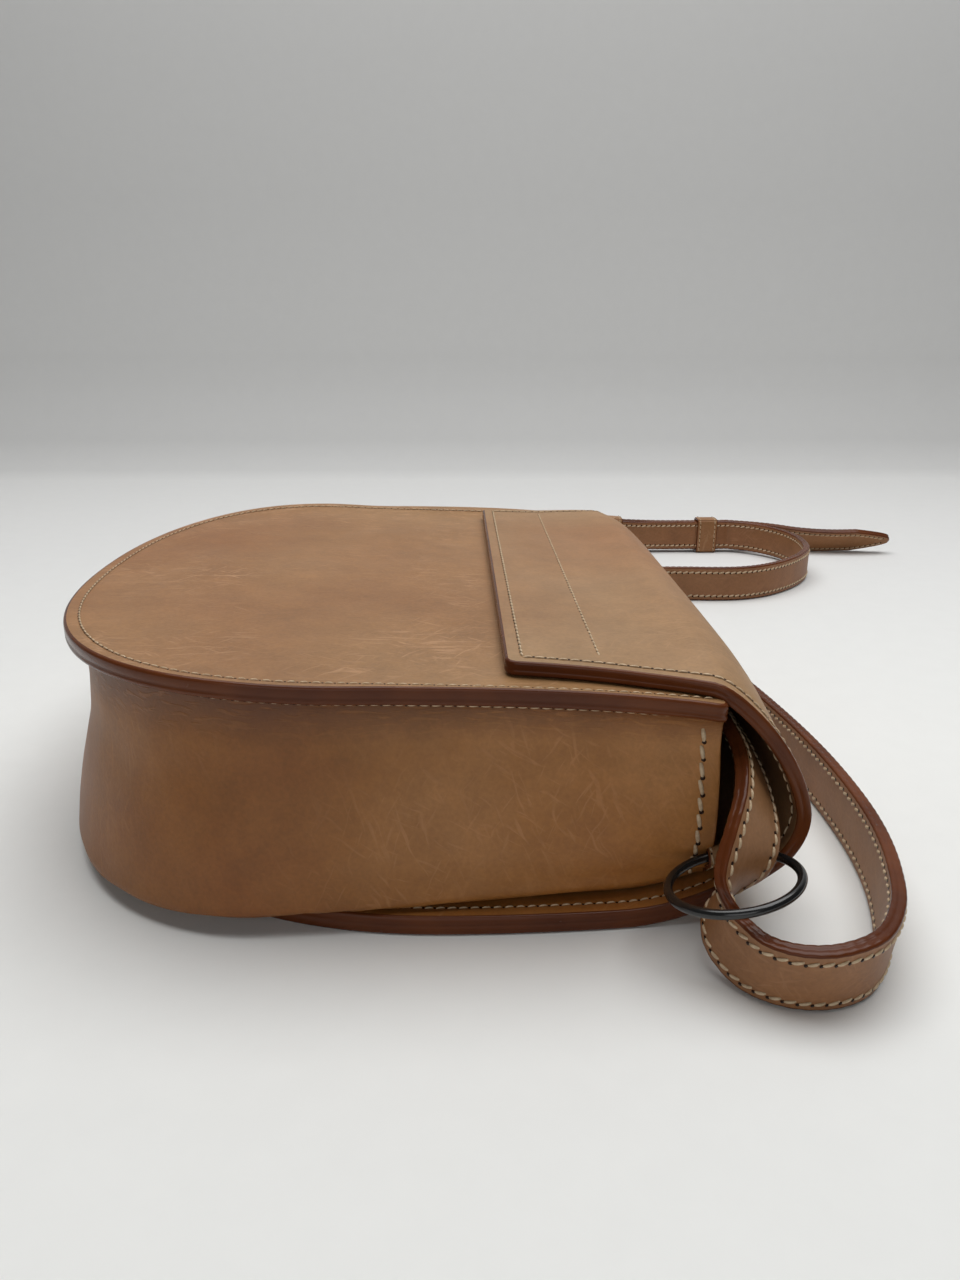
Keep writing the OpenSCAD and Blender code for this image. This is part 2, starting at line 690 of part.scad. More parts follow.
// Adjusting holes in the lap, and the stretched one that the prong goes through
hole_first = fixed_x + keeper_w * 1.6;
hole_count = floor((sliding_x - keeper_w - hole_first) / hole_pitch);
prong_at = [heel_x, strand_y, buckle_z];
prong_deg = atan((buckle_wire / 2 + prong_d / 2 + pin_gap * 2) / buckle_l);
prong_l = buckle_l + buckle_wire * 0.6;
module along_prong() {
    translate(prong_at)
    rotate([0, -90, -prong_deg])
    children();
}
module strap_holes() {
    for (k = [0:hole_count])
        translate([hole_first + k * hole_pitch, lap_y + strap_t, keeper_z])
        rotate([90, 0, 0])
        cylinder(d = hole_d, h = 1.4 * strap_t);
    slot_w = prong_d + 2 * keeper_gap;
    translate([heel_x - buckle_l * 0.77, lap_in - strap_t, buckle_z - slot_w / 2])
    cube([buckle_l * 0.6, lap_out - lap_in + 2 * strap_t, slot_w]);
}

module strap_layer(low, high, turned) {
    difference() {
        loft([for (i = [0:fine_count - 1]) strap_ring(i, low, high)], turned);
        strap_holes();
    }
}

module strap_outer() {
    color(tan_leather)
    strap_layer(0, strap_outer_t, false);
}

module strap_inner() {
    color(side_leather)
    strap_layer(-strap_inner_t, 0, true);
}

// Buckle frame with rounded corners, standing on its side
corner_r = buckle_wire * 1.1;
module buckle_frame() {
    half_l = buckle_l / 2 - corner_r;
    half_h = buckle_half + buckle_wire / 2 - corner_r;
    color(black_metal)
    translate([buckle_x + buckle_l / 2, strand_y, buckle_z])
    rotate([90, 0, 0]) {
        for (x = [-1, 1])
            translate([x * buckle_l / 2, -half_h, 0])
            rotate([-90, 0, 0])
            cylinder(d = buckle_wire, h = 2 * half_h);
        for (z = [-1, 1])
            translate([-half_l, z * (buckle_half + buckle_wire / 2), 0])
            rotate([0, 90, 0])
            cylinder(d = buckle_wire, h = 2 * half_l);
        for (x = [0, 1], z = [0, 1])
            mirror([x, 0, 0])
            mirror([0, z, 0])
            translate([half_l, half_h, 0])
            rotate_extrude(angle = 90)
            translate([corner_r, 0])
            circle(d = buckle_wire);
    }
}

module buckle_prong() {
    eye_r = buckle_wire / 2 + pin_gap;
    eye_h = prong_d * 1.5;
    color(black_metal)
    difference() {
        union() {
            translate(prong_at)
            cylinder(r = eye_r + prong_d * 0.6, h = eye_h, center = true);
            along_prong()
            cylinder(d = prong_d, h = prong_l);
            along_prong()
            translate([0, 0, prong_l])
            sphere(d = prong_d);
        }
        translate(prong_at)
        cylinder(r = eye_r, h = 2 * eye_h, center = true);
    }
}

// Strip folded round the second bar of the buckle and sewn to the inside of the strap
chape_l = keeper_w * 0.9;
module strap_chape() {
    eye_r = buckle_wire / 2 + pin_gap;
    prong_room = prong_d * 1.5 + 2 * keeper_gap;
    color(side_leather)
    translate([heel_x, strand_y, buckle_z - strap_w / 2])
    difference() {
        union() {
            cylinder(r = eye_r + keeper_t, h = strap_w);
            translate([0, -strap_t / 2 - seat - keeper_t, 0])
            cube([chape_l, keeper_t, strap_w]);
        }
        translate([0, 0, -overrun])
        cylinder(r = eye_r, h = strap_w + 2 * overrun);
        translate([-buckle_l / 2, -buckle_l / 2, strap_w / 2 - prong_room / 2])
        cube([buckle_l / 2 + buckle_wire, buckle_l, prong_room]);
    }
}

// Keepers wrap both layers of strap
module keeper(x, z, slope) {
    depth = 2 * strap_t + 3 * keeper_gap;
    high = strap_w + 2 * keeper_gap;
    translate([x, mix(strand_y, lap_y, 0.5), z])
    rotate([0, slope, 0])
    rotate([90, 0, 90])
    linear_extrude(keeper_w, center = true)
    difference() {
        square([depth + 2 * keeper_t, high + 2 * keeper_t], center = true);
        square([depth, high], center = true);
    }
}

module fixed_keeper() {
    color(side_leather)
    keeper(fixed_x, strand_z(fixed_x), strand_slope);
}

module sliding_keeper() {
    color(side_leather)
    keeper(sliding_x, keeper_z, 0);
}

front_panel();
front_lining();
back_panel();
back_lining();
gusset();
gusset_lining();
mouth_facing(-1);  // mouth_facing_near
mouth_facing(1);  // mouth_facing_far
inner_pocket();
panel_magnets();
roll_base();
roll_base_lining();
flap_roll();
flap_roll_lining();
flap_front();
flap_front_lining();
flap_stiffener();
flap_magnets();
ring_near();
ring_far();
ring_tab_near();
ring_tab_far();
strap_outer();
strap_inner();
buckle_frame();
buckle_prong();
strap_chape();
fixed_keeper();
sliding_keeper();
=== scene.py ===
"""Looks of the saddle shoulder bag: natural leather, painted edges, pale thread, black metal."""

import math
import random

import bmesh
import bpy
import numpy as np
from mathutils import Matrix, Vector, noise


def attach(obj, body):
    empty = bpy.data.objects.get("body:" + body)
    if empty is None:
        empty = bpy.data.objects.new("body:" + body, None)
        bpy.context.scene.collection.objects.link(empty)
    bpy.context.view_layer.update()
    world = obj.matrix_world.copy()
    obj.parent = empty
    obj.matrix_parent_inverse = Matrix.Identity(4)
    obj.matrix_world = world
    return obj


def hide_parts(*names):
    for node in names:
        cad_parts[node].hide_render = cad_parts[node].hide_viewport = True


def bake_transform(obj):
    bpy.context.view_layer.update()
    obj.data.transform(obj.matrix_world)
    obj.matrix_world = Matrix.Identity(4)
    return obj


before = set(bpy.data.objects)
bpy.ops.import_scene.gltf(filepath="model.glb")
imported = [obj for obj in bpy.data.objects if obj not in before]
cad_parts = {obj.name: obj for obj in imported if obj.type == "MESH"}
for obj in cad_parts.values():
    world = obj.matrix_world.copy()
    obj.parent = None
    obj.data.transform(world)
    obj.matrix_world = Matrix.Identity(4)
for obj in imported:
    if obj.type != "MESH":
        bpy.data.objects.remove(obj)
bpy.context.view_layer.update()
mm = 0.001

# Sizes of the bag, in metres, as its solids have them
BODY_W = 225 * mm
BODY_L = 178 * mm
BODY_T = 69.5 * mm
MOUTH_DROP = 8.5 * mm
NOSE_L = 75 * mm
NOSE_POWER = 2.27
BACK_W = 229 * mm
BACK_MOUTH_W = 219 * mm
BACK_NOSE_L = 110 * mm
BACK_INSET = 7 * mm
PANEL_T = 3 * mm
GUSSET_T = 2.4 * mm
LINING_T = 0.8 * mm
FLANGE_W = 6.5 * mm
FLAP_OUTER_T = 2.1 * mm
FLAP_T = 3.7 * mm
FLAP_GAP = 0.3 * mm
FLAP_REACH = 50 * mm
FLAP_FRONT_W = 197 * mm
FLAP_BEND_W = 215 * mm
ROLL_W = 222 * mm
ROLL_REACH = 25.5 * mm
TUNNEL_W = 24 * mm
BACK_RISE = 7.3 * mm
STRAP_W = 18.4 * mm
STRAP_OUTER_T = 1.9 * mm
STRAP_T = 3.6 * mm
TIP_L = 24 * mm
PIN_GAP = 0.06 * mm
RING_WIRE = 2.3 * mm
RING_D = 31 * mm
RING_LIFT = math.radians(8)
RING_OUT = RING_D * 0.375
RING_Z = STRAP_W * 1.14
PRONG_WIRE = 2.1 * mm
HOLE_D = 3 * mm
HOLE_PITCH = 19 * mm
POCKET_W = 130 * mm
POCKET_L = 85 * mm
POCKET_T = 1.4 * mm
POCKET_WELT = 7 * mm
FACING_W = 14 * mm
FACING_T = 1 * mm
X_NOSE = -BODY_L / 2
X_MOUTH = BODY_L / 2
SLOPE = MOUTH_DROP / BODY_L
SPLIT_X = X_MOUTH + FLANGE_W * 1.4
RISE_X = SPLIT_X - FLANGE_W * 4.6
BACK_X = X_NOSE + BACK_INSET
BACK_WIDE_X = BACK_X + BACK_NOSE_L

# How far the rim of the front panel overhangs the solid at its rounded end and at the mouth
NOSE_OVERHANG = 2.6 * mm
MOUTH_OVERHANG = 2.4 * mm
PANEL_END = X_MOUTH + MOUTH_OVERHANG

# The gap between a hide and its lining, and the flange seen under the rim of the front panel
LAYER_GAP = 0.05 * mm
FRONT_FLANGE_T = 1.7 * mm

# Each side of the bag: its sign in Y and its name
SIDES = ((-1, "near"), (1, "far"))

# Thread: distance from the edge, and the spacing of the stitches in each kind of seam
SEAM_INSET = 4.3 * mm
STRAP_SEAM_INSET = 2.7 * mm
MOUTH_SEAM_INSET = 4.8 * mm
FINE_PITCH = 2.9 * mm
STRAP_PITCH = 3.25 * mm
BOLD_PITCH = 4.1 * mm


# Shapes of the hides

def mix(a, b, t):
    return a + (b - a) * t


def share(x, start, end):
    """How far x is from start to end, from 0 to 1."""
    return min(max((x - start) / (end - start), 0), 1)


def bell(x, middle, width):
    return math.exp(-((x - middle) / width) ** 2)


def front_top(x):
    return BODY_T - SLOPE * (x - X_NOSE)


def back_z(x):
    return BACK_RISE * share(x, RISE_X, SPLIT_X) ** 2


def superellipse(theta, w, l):
    """A point of the rounded end and its outward direction."""
    c, s = abs(math.cos(theta)), abs(math.sin(theta))
    p = 2 / NOSE_POWER
    out = Vector((-(c ** (2 - p)) / l, s ** (2 - p) / (w / 2))).normalized()
    return Vector((l * (1 - c ** p), w / 2 * s ** p)), out


def back_half_w(x):
    if x <= BACK_X:
        return 0
    if x < BACK_WIDE_X:
        t = 1 - (x - BACK_X) / BACK_NOSE_L
        return BACK_W / 2 * (1 - t ** NOSE_POWER) ** (1 / NOSE_POWER)
    t = (x - BACK_WIDE_X) / (SPLIT_X - BACK_WIDE_X)
    return BACK_W / 2 - (BACK_W - BACK_MOUTH_W) / 2 * t * t


class Path:
    """A smooth curve through rows of numbers, measured along its first columns."""

    def __init__(self, rows, places=3, steps=24, pace=0.4 * mm):
        rows = [np.array(r, float) for r in rows]
        last = len(rows) - 1
        fine = []
        for i in range(last):
            a, b, c, d = rows[max(i - 1, 0)], rows[i], rows[i + 1], rows[min(i + 2, last)]
            for k in range(steps):
                t = k / steps
                fine.append((2 * b + (c - a) * t + (2 * a - 5 * b + 4 * c - d) * t ** 2
                             + (3 * b - a - 3 * c + d) * t ** 3) / 2)
        fine.append(rows[last])
        fine = np.array(fine)
        taken = np.linalg.norm(np.diff(fine[:, :places], axis=0), axis=1)
        run = np.concatenate([[0], np.cumsum(taken)])
        self.length = float(run[-1])
        self.count = max(int(self.length / pace), 2)
        even = np.linspace(0, self.length, self.count + 1)
        self.rows = np.array([np.interp(even, run, c) for c in fine.T]).T
        self.places = places

    def at(self, s):
        place = min(max(s / self.length, 0), 1) * self.count
        k = min(int(place), self.count - 1)
        return self.rows[k] + (self.rows[k + 1] - self.rows[k]) * (place - k)

    def along(self, s, reach=0.6 * mm):
        step = self.at(s + reach)[:self.places] - self.at(s - reach)[:self.places]
        return step / math.sqrt(step @ step)

    def where(self, column, value):
        """The distance at which a column first reaches a value on its way to its greatest."""
        top = int(np.argmax(self.rows[:, column])) + 1
        even = np.linspace(0, self.length, self.count + 1)
        return float(np.interp(value, self.rows[:top, column], even[:top]))

    def furthest(self, column):
        return self.length * int(np.argmax(self.rows[:, column])) / self.count


def spread(start, end, step):
    count = max(int(round((end - start) / step)), 1)
    return [mix(start, end, k / count) for k in range(count + 1)]


# Cut leather. A piece is a flat grid that is given a thickness, and each point is then put
# where the piece's own place(u, v, depth) says, u along it, v across it, depth from its face.

MARGINS = [0, 2.4 * mm, 3.6 * mm, SEAM_INSET, 5 * mm, 6.4 * mm, 9 * mm, 13 * mm]
CHANNEL_W = 0.8 * mm


def burnished(layers, r=0.75 * mm, groove=0.16 * mm):
    """Inset and depth of each step round an edge of one or more layers of leather."""
    total = sum(layers)
    r = min(r, total / 2.2)
    turn = [(r * (1 - math.sin(a)), r * (1 - math.cos(a))) for a in np.radians([0, 30, 60, 90])]
    joins = []
    depth = 0
    for t in layers[:-1]:
        depth += t
        joins += [(0, depth - 1.6 * groove), (groove, depth), (0, depth + 1.6 * groove)]
    return turn + joins + [(i, total - d) for i, d in reversed(turn)]


class Side:
    """One side line of a piece, as stations (u, v) or (u, v, outward u, outward v)."""

    def __init__(self, stations, start, end, corner=2.6 * mm):
        self.stations = [(*s, 0, 1)[:4] for s in stations]
        self.start = start
        self.end = end
        self.corner = corner


def leather_block(rows, columns, levels):
    """A flat block whose face, edge and back have the materials 0, 1 and 2."""
    bm = bmesh.new()
    bmesh.ops.create_grid(bm, x_segments=rows, y_segments=columns, size=1)
    face = list(bm.faces)
    grown = bmesh.ops.extrude_face_region(bm, geom=face)["geom"]
    under = [g for g in grown if isinstance(g, bmesh.types.BMVert)]
    bmesh.ops.translate(bm, verts=under, vec=(0, 0, -1))
    risers = [e for e in bm.edges if abs(e.verts[0].co.z - e.verts[1].co.z) > 0.5]
    bmesh.ops.subdivide_edges(bm, edges=risers, cuts=levels - 1, use_grid_fill=True)
    for f in bm.faces:
        f.normal_update()
        z = f.calc_center_median().z
        f.material_index = 0 if z > -1e-4 else 2 if z < -1 + 1e-4 else 1
        f.smooth = True
    return bm


def round_corner(to_end, to_side, inset, corner, on_rim):
    """Distances from the end and from the side, where a corner between them is rounded."""
    e, s = max(to_end, inset), max(to_side, inset)
    r = corner - inset
    if r <= 0 or max(e, s) >= corner:
        return e, to_side
    turn = math.pi / 4 * (1 + (max(e, s) - inset) / r)
    far, close = corner - r * math.cos(turn), corner - r * math.sin(turn)
    return (far, close) if on_rim else (close, far)


def cut_leather(name, side, middle, rim, place, margins=MARGINS, channel=0.0, materials=()):
    """side.start is "point" where the piece begins in a rounded end, "edge" at a finished edge
    and "join" where another piece carries on. middle is the number of columns between the
    margins. The channel is the depth of the groove that the stitches lie in."""
    rows = len(side.stations) - 1
    wide = len(margins) - 1
    columns = 2 * wide + middle
    levels = len(rim) - 1
    bm = leather_block(rows, columns, levels)
    start_cap = [f for f in bm.faces if f.calc_center_median().x < -1 + 1e-5]
    end_cap = [f for f in bm.faces if f.calc_center_median().x > 1 - 1e-5]
    if side.start == "point":
        bmesh.ops.delete(bm, geom=start_cap, context="FACES")
    caps = (start_cap if side.start == "join" else []) + (end_cap if side.end == "join" else [])
    first, last = side.stations[0][0], side.stations[-1][0]
    spots = bm.verts.layers.float_vector.new("spot")
    for v in bm.verts:
        k = int(round((v.co.x + 1) / 2 * rows))
        j = int(round((v.co.y + 1) / 2 * columns))
        level = int(round(-v.co.z * levels))
        inset, depth = rim[level]
        u, w, nu, nv = side.stations[k]
        near = min(j, columns - j)
        sign = 1 if j * 2 >= columns else -1
        to_side = margins[near] if near <= wide else 1
        ends = []
        if side.start == "edge":
            ends.append((u - first, -1))
        if side.end == "edge":
            ends.append((last - u, 1))
        for to_end, way in ends:
            if (near == 0 or to_end < 1e-9) and to_end <= side.corner + inset:
                e, to_side = round_corner(to_end, to_side, inset, side.corner, near == 0)
                u = last - e if way > 0 else first + e
        if near <= wide:
            across = w - max(to_side, inset) * nv
            u -= max(to_side, inset) * nu
        else:
            across = (w - margins[-1] * nv) * abs(1 - 2 * (j - wide) / middle)
            u -= margins[-1] * nu
        edge_gap = min([max(to_side, inset)] + [t for t, _ in ends])
        dip = channel * bell(edge_gap, SEAM_INSET, CHANNEL_W)
        if level == 0:
            depth += dip
        if level == levels:
            depth -= dip
        v.co = place(u, sign * max(across, 0), depth)
        v[spots] = (u, sign * across, depth)
    bmesh.ops.remove_doubles(bm, verts=bm.verts, dist=0.01 * mm)
    bmesh.ops.recalc_face_normals(bm, faces=bm.faces)
    bmesh.ops.split(bm, geom=[f for f in caps if f.is_valid])
    return finish_mesh(name, bm, materials)


def finish_mesh(name, bm, materials):
    mesh = bpy.data.meshes.new(name)
    bm.to_mesh(mesh)
    bm.free()
    for m in materials:
        mesh.materials.append(m)
    piece = bpy.data.objects.new(name, mesh)
    bpy.context.scene.collection.objects.link(piece)
    return piece


# Thread

HOLE_SHIFT = 4


def stitch_template():
    """One plump stitch of unit length along Z, with its hole as a dark disc of painted shade."""
    bm = bmesh.new()
    bmesh.ops.create_uvsphere(bm, u_segments=6, v_segments=6, radius=1)
    hole = bmesh.ops.create_uvsphere(bm, u_segments=6, v_segments=4, radius=1)["verts"]
    bmesh.ops.translate(bm, verts=hole, vec=(0, 0, HOLE_SHIFT))
    for f in bm.faces:
        f.smooth = True
        f.material_index = 1 if f.calc_center_median().z > HOLE_SHIFT / 2 else 0
    mesh = bpy.data.meshes.new("stitch_template")
    bm.to_mesh(mesh)
    bm.free()
    return mesh


STITCH = stitch_template()


def stitch_seam(name, spots, pitch, fat=0.36 * mm, length=0.8, lean=0.12, seed=1):
    """Stitches laid along spots, each a point and the direction out of the leather. Their
    length is a share of their pitch."""
    rng = random.Random(seed)
    path = Path([tuple(p) + tuple(n) for p, n in spots], steps=2)
    count = int(path.length / pitch)
    bm = bmesh.new()
    for _ in range(count):
        bm.from_mesh(STITCH)
    size = len(STITCH.vertices)
    for index, v in enumerate(bm.verts):
        if index % size == 0:
            s = (index // size + 0.5) * path.length / count
            row = path.at(s)
            n = Vector(row[3:]).normalized()
            t = Vector(path.along(s))
            b = n.cross(t).normalized()
            t = (t + b * (lean + rng.uniform(-0.05, 0.05))).normalized()
            b = n.cross(t).normalized()
            long = pitch * length * rng.uniform(0.94, 1.04) / 2
            centre = Vector(row[:3])
            hole = centre + t * (pitch / 2)
        x, y, z = v.co
        if z > HOLE_SHIFT / 2:
            v.co = (hole + t * ((z - HOLE_SHIFT) * fat * 1.1) + b * (x * fat * 1.25)
                    + n * (y * fat * 0.22 + 0.02 * mm))
            continue
        fuller = math.sqrt(max(1 - 0.75 * z * z, 0)) / max(math.sqrt(1 - min(z * z, 0.999)), 0.05)
        sink = 0.8 * fat * abs(z) ** 3
        v.co = (centre + t * (z * long) + b * (x * fuller * fat)
                + n * (y * fuller * fat * 0.8 + 0.3 * fat - sink))
    return finish_mesh(name, bm, [THREAD, HOLE_SHADE])


def seam_spots(place, line, depth):
    """Points and outward directions along a line of (u, v), for sew()."""
    inward = depth + (-0.5 if depth else 0.5) * mm
    return [(place(u, v, depth), (place(u, v, depth) - place(u, v, inward)).normalized())
            for u, v in line]


# Materials

def grey(x):
    return (x, x, x, 1)


class Surface:
    """A material in the making, with patterns that follow the place on the object."""

    def __init__(self, name):
        self.material = bpy.data.materials.new(name)
        self.material.use_nodes = True
        self.tree = self.material.node_tree
        self.place = self.add("ShaderNodeTexCoord").outputs["Object"]

    def feed(self, socket, value):
        """Links a socket to another node's output, or gives it a plain value."""
        if isinstance(value, bpy.types.NodeSocket):
            self.tree.links.new(value, socket)
        else:
            socket.default_value = value

    def add(self, kind, **values):
        node = self.tree.nodes.new(kind)
        for key, value in values.items():
            if key in node.inputs:
                self.feed(node.inputs[key], value)
            else:
                setattr(node, key, value)
        return node

    def speckle(self, scale, detail=3, rough=0.55, twist=0, where=None):
        cloud = self.add("ShaderNodeTexNoise", Scale=scale, Detail=detail, Roughness=rough,
                         Distortion=twist, Vector=self.place if where is None else where)
        return cloud.outputs["Fac"]

    def ramp(self, amount, stops):
        node = self.add("ShaderNodeValToRGB", Fac=amount)
        while len(node.color_ramp.elements) < len(stops):
            node.color_ramp.elements.new(0.5)
        for stop, (at, colour) in zip(node.color_ramp.elements, stops):
            stop.position = at
            stop.color = colour if len(colour) == 4 else (*colour, 1)
        return node.outputs["Color"]

    def blend(self, a, b, amount=1.0, how="MIX"):
        node = self.add("ShaderNodeMix", data_type="RGBA", blend_type=how)
        for socket, value in zip([i for i in node.inputs if i.enabled], (amount, a, b)):
            self.feed(socket, value)
        return [o for o in node.outputs if o.enabled][0]

    def maths(self, how, *values, kind="ShaderNodeMath"):
        node = self.add(kind, operation=how)
        for socket, value in zip(node.inputs, values):
            self.feed(socket, value)
        return node.outputs[0]

    def scaled(self, value, factor, offset=0):
        return self.maths("MULTIPLY_ADD", value, factor, offset)

    def axis(self, where, index):
        """One of the three numbers of a place."""
        apart = self.add("ShaderNodeSeparateXYZ")
        self.feed(apart.inputs[0], where)
        return apart.outputs[index]

    def shade(self, inputs, height=None, strength=0, depth=0):
        """Sets the shader's inputs, and its bumps where there is a height."""
        shader = self.tree.nodes["Principled BSDF"]
        for key, value in inputs.items():
            self.feed(shader.inputs[key], value)
        if height is not None:
            bumps = self.add("ShaderNodeBump", Height=height, Strength=strength, Distance=depth)
            self.feed(shader.inputs["Normal"], bumps.outputs["Normal"])
        return self.material


# Tints laid over a hide: scale, detail and roughness of the pattern, the two tints, the strength
PATINA = [
    ((6, 2), [(0.35, (0.56, 0.48, 0.44)), (0.65, (0.47, 0.51, 0.5))], 0.5),
    ((85, 6, 0.7), [(0.3, grey(0.4)), (0.7, grey(0.6))], 0.6),
    ((900, 2), [(0.3, grey(0.38)), (0.7, grey(0.6))], 0.35),
]
# Rub marks: how often they come along and across the hide, their turn, and how few there are
RUBS = [((75, 620), 0.12, 0.58), ((95, 760), -0.55, 0.6), ((85, 900), 0.95, 0.61)]
CREASES = ((150, 900), 0, 0.38)
# Painted shade, multiplied into a wall's colour under the rim and in the hollows of its creases
PAINTED_RIM_SHADE = (0.36, 0.27, 0.2, 1)
PAINTED_CREASE_SHADE = (0.55, 0.45, 0.38, 1)
UNEVEN = 6 * mm


def strokes(surface, where, stretch, turn, cut):
    """Long narrow clouds, kept where they are densest."""
    turned = surface.add("ShaderNodeMapping", vector_type="TEXTURE", Vector=where,
                         Scale=(1 / stretch[0], 1 / stretch[1], 1), Rotation=(0, 0, turn))
    cloud = surface.speckle(1, 3, 0.5, 0.5, turned.outputs["Vector"])
    return surface.ramp(cloud, [(cut, grey(0)), (cut + 0.1, grey(1))])


def rubbed(surface, where, lean):
    """Strokes in three directions, gathered into patches."""
    marks = grey(0)
    for stretch, turn, cut in RUBS:
        more = strokes(surface, where, stretch, turn + lean, cut)
        marks = surface.blend(marks, more, 1.0, "LIGHTEN")
    patches = surface.ramp(surface.speckle(17), [(0.42, grey(0.08)), (0.62, grey(1))])
    return surface.blend(marks, patches, 1.0, "MULTIPLY")


def hide_leather(name, light, mid, dark, scuffs=0.3, roughness=0.5, grain=0.35, crease_and_shade=None, lean=0.0,
                 painted_light_fade=None):
    """Natural leather: cloudy patina, fine grain, pores and pale rubbed strokes. A band along the
    top of a wall, given by its reach and the wall's height, has real creases and painted shade
    under the rim. Between two given X the hide grows lighter from a darker share: painted light
    and shade."""
    s = Surface(name)
    colour = s.ramp(s.speckle(13, 5), [(0.32, dark), (0.5, mid), (0.68, light)])
    for pattern, tints, strength in PATINA:
        colour = s.blend(colour, s.ramp(s.speckle(*pattern), tints), strength, "OVERLAY")
    spot = s.add("ShaderNodeAttribute", attribute_name="spot").outputs["Vector"]
    wobble = s.add("ShaderNodeTexNoise", Scale=60, Vector=s.place).outputs["Color"]
    bent = s.maths("MULTIPLY_ADD", wobble, (UNEVEN,) * 3, spot, kind="ShaderNodeVectorMath")
    marks = rubbed(s, bent, lean)
    pale = (*[min(c * 1.35 + 0.05, 1) for c in light], 1)
    colour = s.blend(colour, pale, s.scaled(marks, scuffs))
    pores = s.maths("ADD", s.scaled(s.speckle(1100, 2), 0.9), s.speckle(420, 6, 0.7))
    height = s.maths("ADD", pores, s.scaled(marks, -0.25))
    # Painted shade in a band under the rim, and creases: real bumps whose hollows get painted
    # shade.
    if crease_and_shade:
        reach, high = crease_and_shade
        near = s.scaled(s.axis(spot, 1), 1 / reach, 1 - high / 2 / reach)
        band = s.ramp(near, [(0, grey(0)), (0.55, grey(0.55)), (1, grey(1))])
        creases = s.blend(strokes(s, bent, *CREASES), band, 1.0, "MULTIPLY")
        colour = s.blend(colour, PAINTED_RIM_SHADE, s.scaled(band, 0.75), "MULTIPLY")
        colour = s.blend(colour, PAINTED_CREASE_SHADE, s.scaled(creases, 0.7), "MULTIPLY")
        height = s.maths("ADD", height, s.scaled(creases, -2.5))
    # Painted light and shade: the hide grows lighter from one X to another.
    if painted_light_fade:
        begin, end, share = painted_light_fade
        along = s.scaled(s.axis(s.place, 0), 1 / (end - begin), -begin / (end - begin))
        colour = s.blend(colour, s.ramp(along, [(0, grey(share)), (1, grey(1))]), 1.0, "MULTIPLY")
    rough = s.maths("ADD", s.scaled(s.speckle(40, 4), 0.22, roughness - 0.11),
                    s.scaled(marks, 0.08))
    return s.shade({"Base Color": colour, "Roughness": rough, "Specular IOR Level": 0.4},
                   height, grain, 0.12 * mm)


def edge_paint(name, colour, deep):
    """Burnished and painted edge: glossy, slightly uneven."""
    s = Surface(name)
    return s.shade({"Base Color": s.ramp(s.speckle(40), [(0.35, deep), (0.65, colour)]),
                    "Roughness": s.scaled(s.speckle(220), 0.16, 0.16),
                    "Specular IOR Level": 0.2}, s.speckle(500, 4), 0.2, 0.08 * mm)


def waxed_thread(name, colour, shade):
    s = Surface(name)
    ply = s.add("ShaderNodeTexWave", Scale=520, Distortion=1.5, bands_direction="DIAGONAL",
                Vector=s.place)
    return s.shade({"Base Color": s.ramp(s.speckle(700), [(0.3, shade), (0.62, colour)]),
                    "Roughness": 0.62}, ply.outputs["Fac"], 0.5, 0.1 * mm)


def suede(name, light, dark):
    s = Surface(name)
    return s.shade({"Base Color": s.ramp(s.speckle(30, 5, 0.7), [(0.32, dark), (0.66, light)]),
                    "Roughness": 0.95, "Sheen Weight": 0.35, "Sheen Roughness": 0.4},
                   s.speckle(1800), 0.5, 0.2 * mm)


def lacquered_metal(name, colour, worn):
    s = Surface(name)
    return s.shade({"Base Color": s.ramp(s.speckle(60), [(0.3, colour), (0.8, worn)]),
                    "Roughness": s.scaled(s.speckle(180, 4), 0.12, 0.16),
                    "Specular IOR Level": 0.45, "Coat Weight": 0.25, "Coat Roughness": 0.12},
                   s.speckle(900, 2), 0.05, 0.05 * mm)


def bare_metal(name, colour):
    s = Surface(name)
    return s.shade({"Base Color": (*colour, 1), "Metallic": 1,
                    "Roughness": s.scaled(s.speckle(300, 4), 0.25, 0.25)})


def stiff_board(name, colour, shade):
    s = Surface(name)
    return s.shade({"Base Color": s.ramp(s.speckle(500, 4), [(0.3, shade), (0.7, colour)]),
                    "Roughness": 0.85})


TAN = hide_leather("tan hide", (0.315, 0.162, 0.067), (0.277, 0.138, 0.053), (0.24, 0.112, 0.04),
                   scuffs=0.75)
# The same leather as the tan hide, lighter on the flap and lighter still towards the roll: painted
# light.
FLAP_TAN = hide_leather("flap hide", (0.376, 0.214, 0.103), (0.34, 0.186, 0.084),
                        (0.306, 0.158, 0.067), scuffs=0.34, painted_light_fade=(60 * mm, 105 * mm, 0.87))
STRAP_TAN = hide_leather("strap hide", (0.295, 0.138, 0.057), (0.26, 0.118, 0.046),
                         (0.225, 0.098, 0.037))
# Under the rim: painted shade over real creases. Darker at the rounded end, lighter towards the
# mouth: painted light and shade.
GUSSET_TAN = hide_leather("gusset hide", (0.43, 0.187, 0.06), (0.35, 0.135, 0.03),
                          (0.27, 0.088, 0.014), roughness=0.46, grain=0.5,
                          crease_and_shade=(11 * mm, 60 * mm), lean=1.1, painted_light_fade=(0, 75 * mm, 0.76))
INNER_TAN = hide_leather("inner hide", (0.3, 0.15, 0.067), (0.26, 0.125, 0.053),
                         (0.22, 0.105, 0.043), scuffs=0.2, roughness=0.56, grain=0.5)
# A darker copy of the inner hide for the facings and the pocket edge inside the mouth: painted
# shade.
SHADED_TAN = hide_leather("facing hide", (0.14, 0.068, 0.03), (0.115, 0.054, 0.023),
                        (0.09, 0.042, 0.018), scuffs=0.15, roughness=0.6, grain=0.5)
EDGE = edge_paint("edge paint", (0.13, 0.036, 0.01), (0.085, 0.022, 0.007))
THREAD = waxed_thread("cream thread", (0.6, 0.46, 0.3), (0.42, 0.3, 0.18))
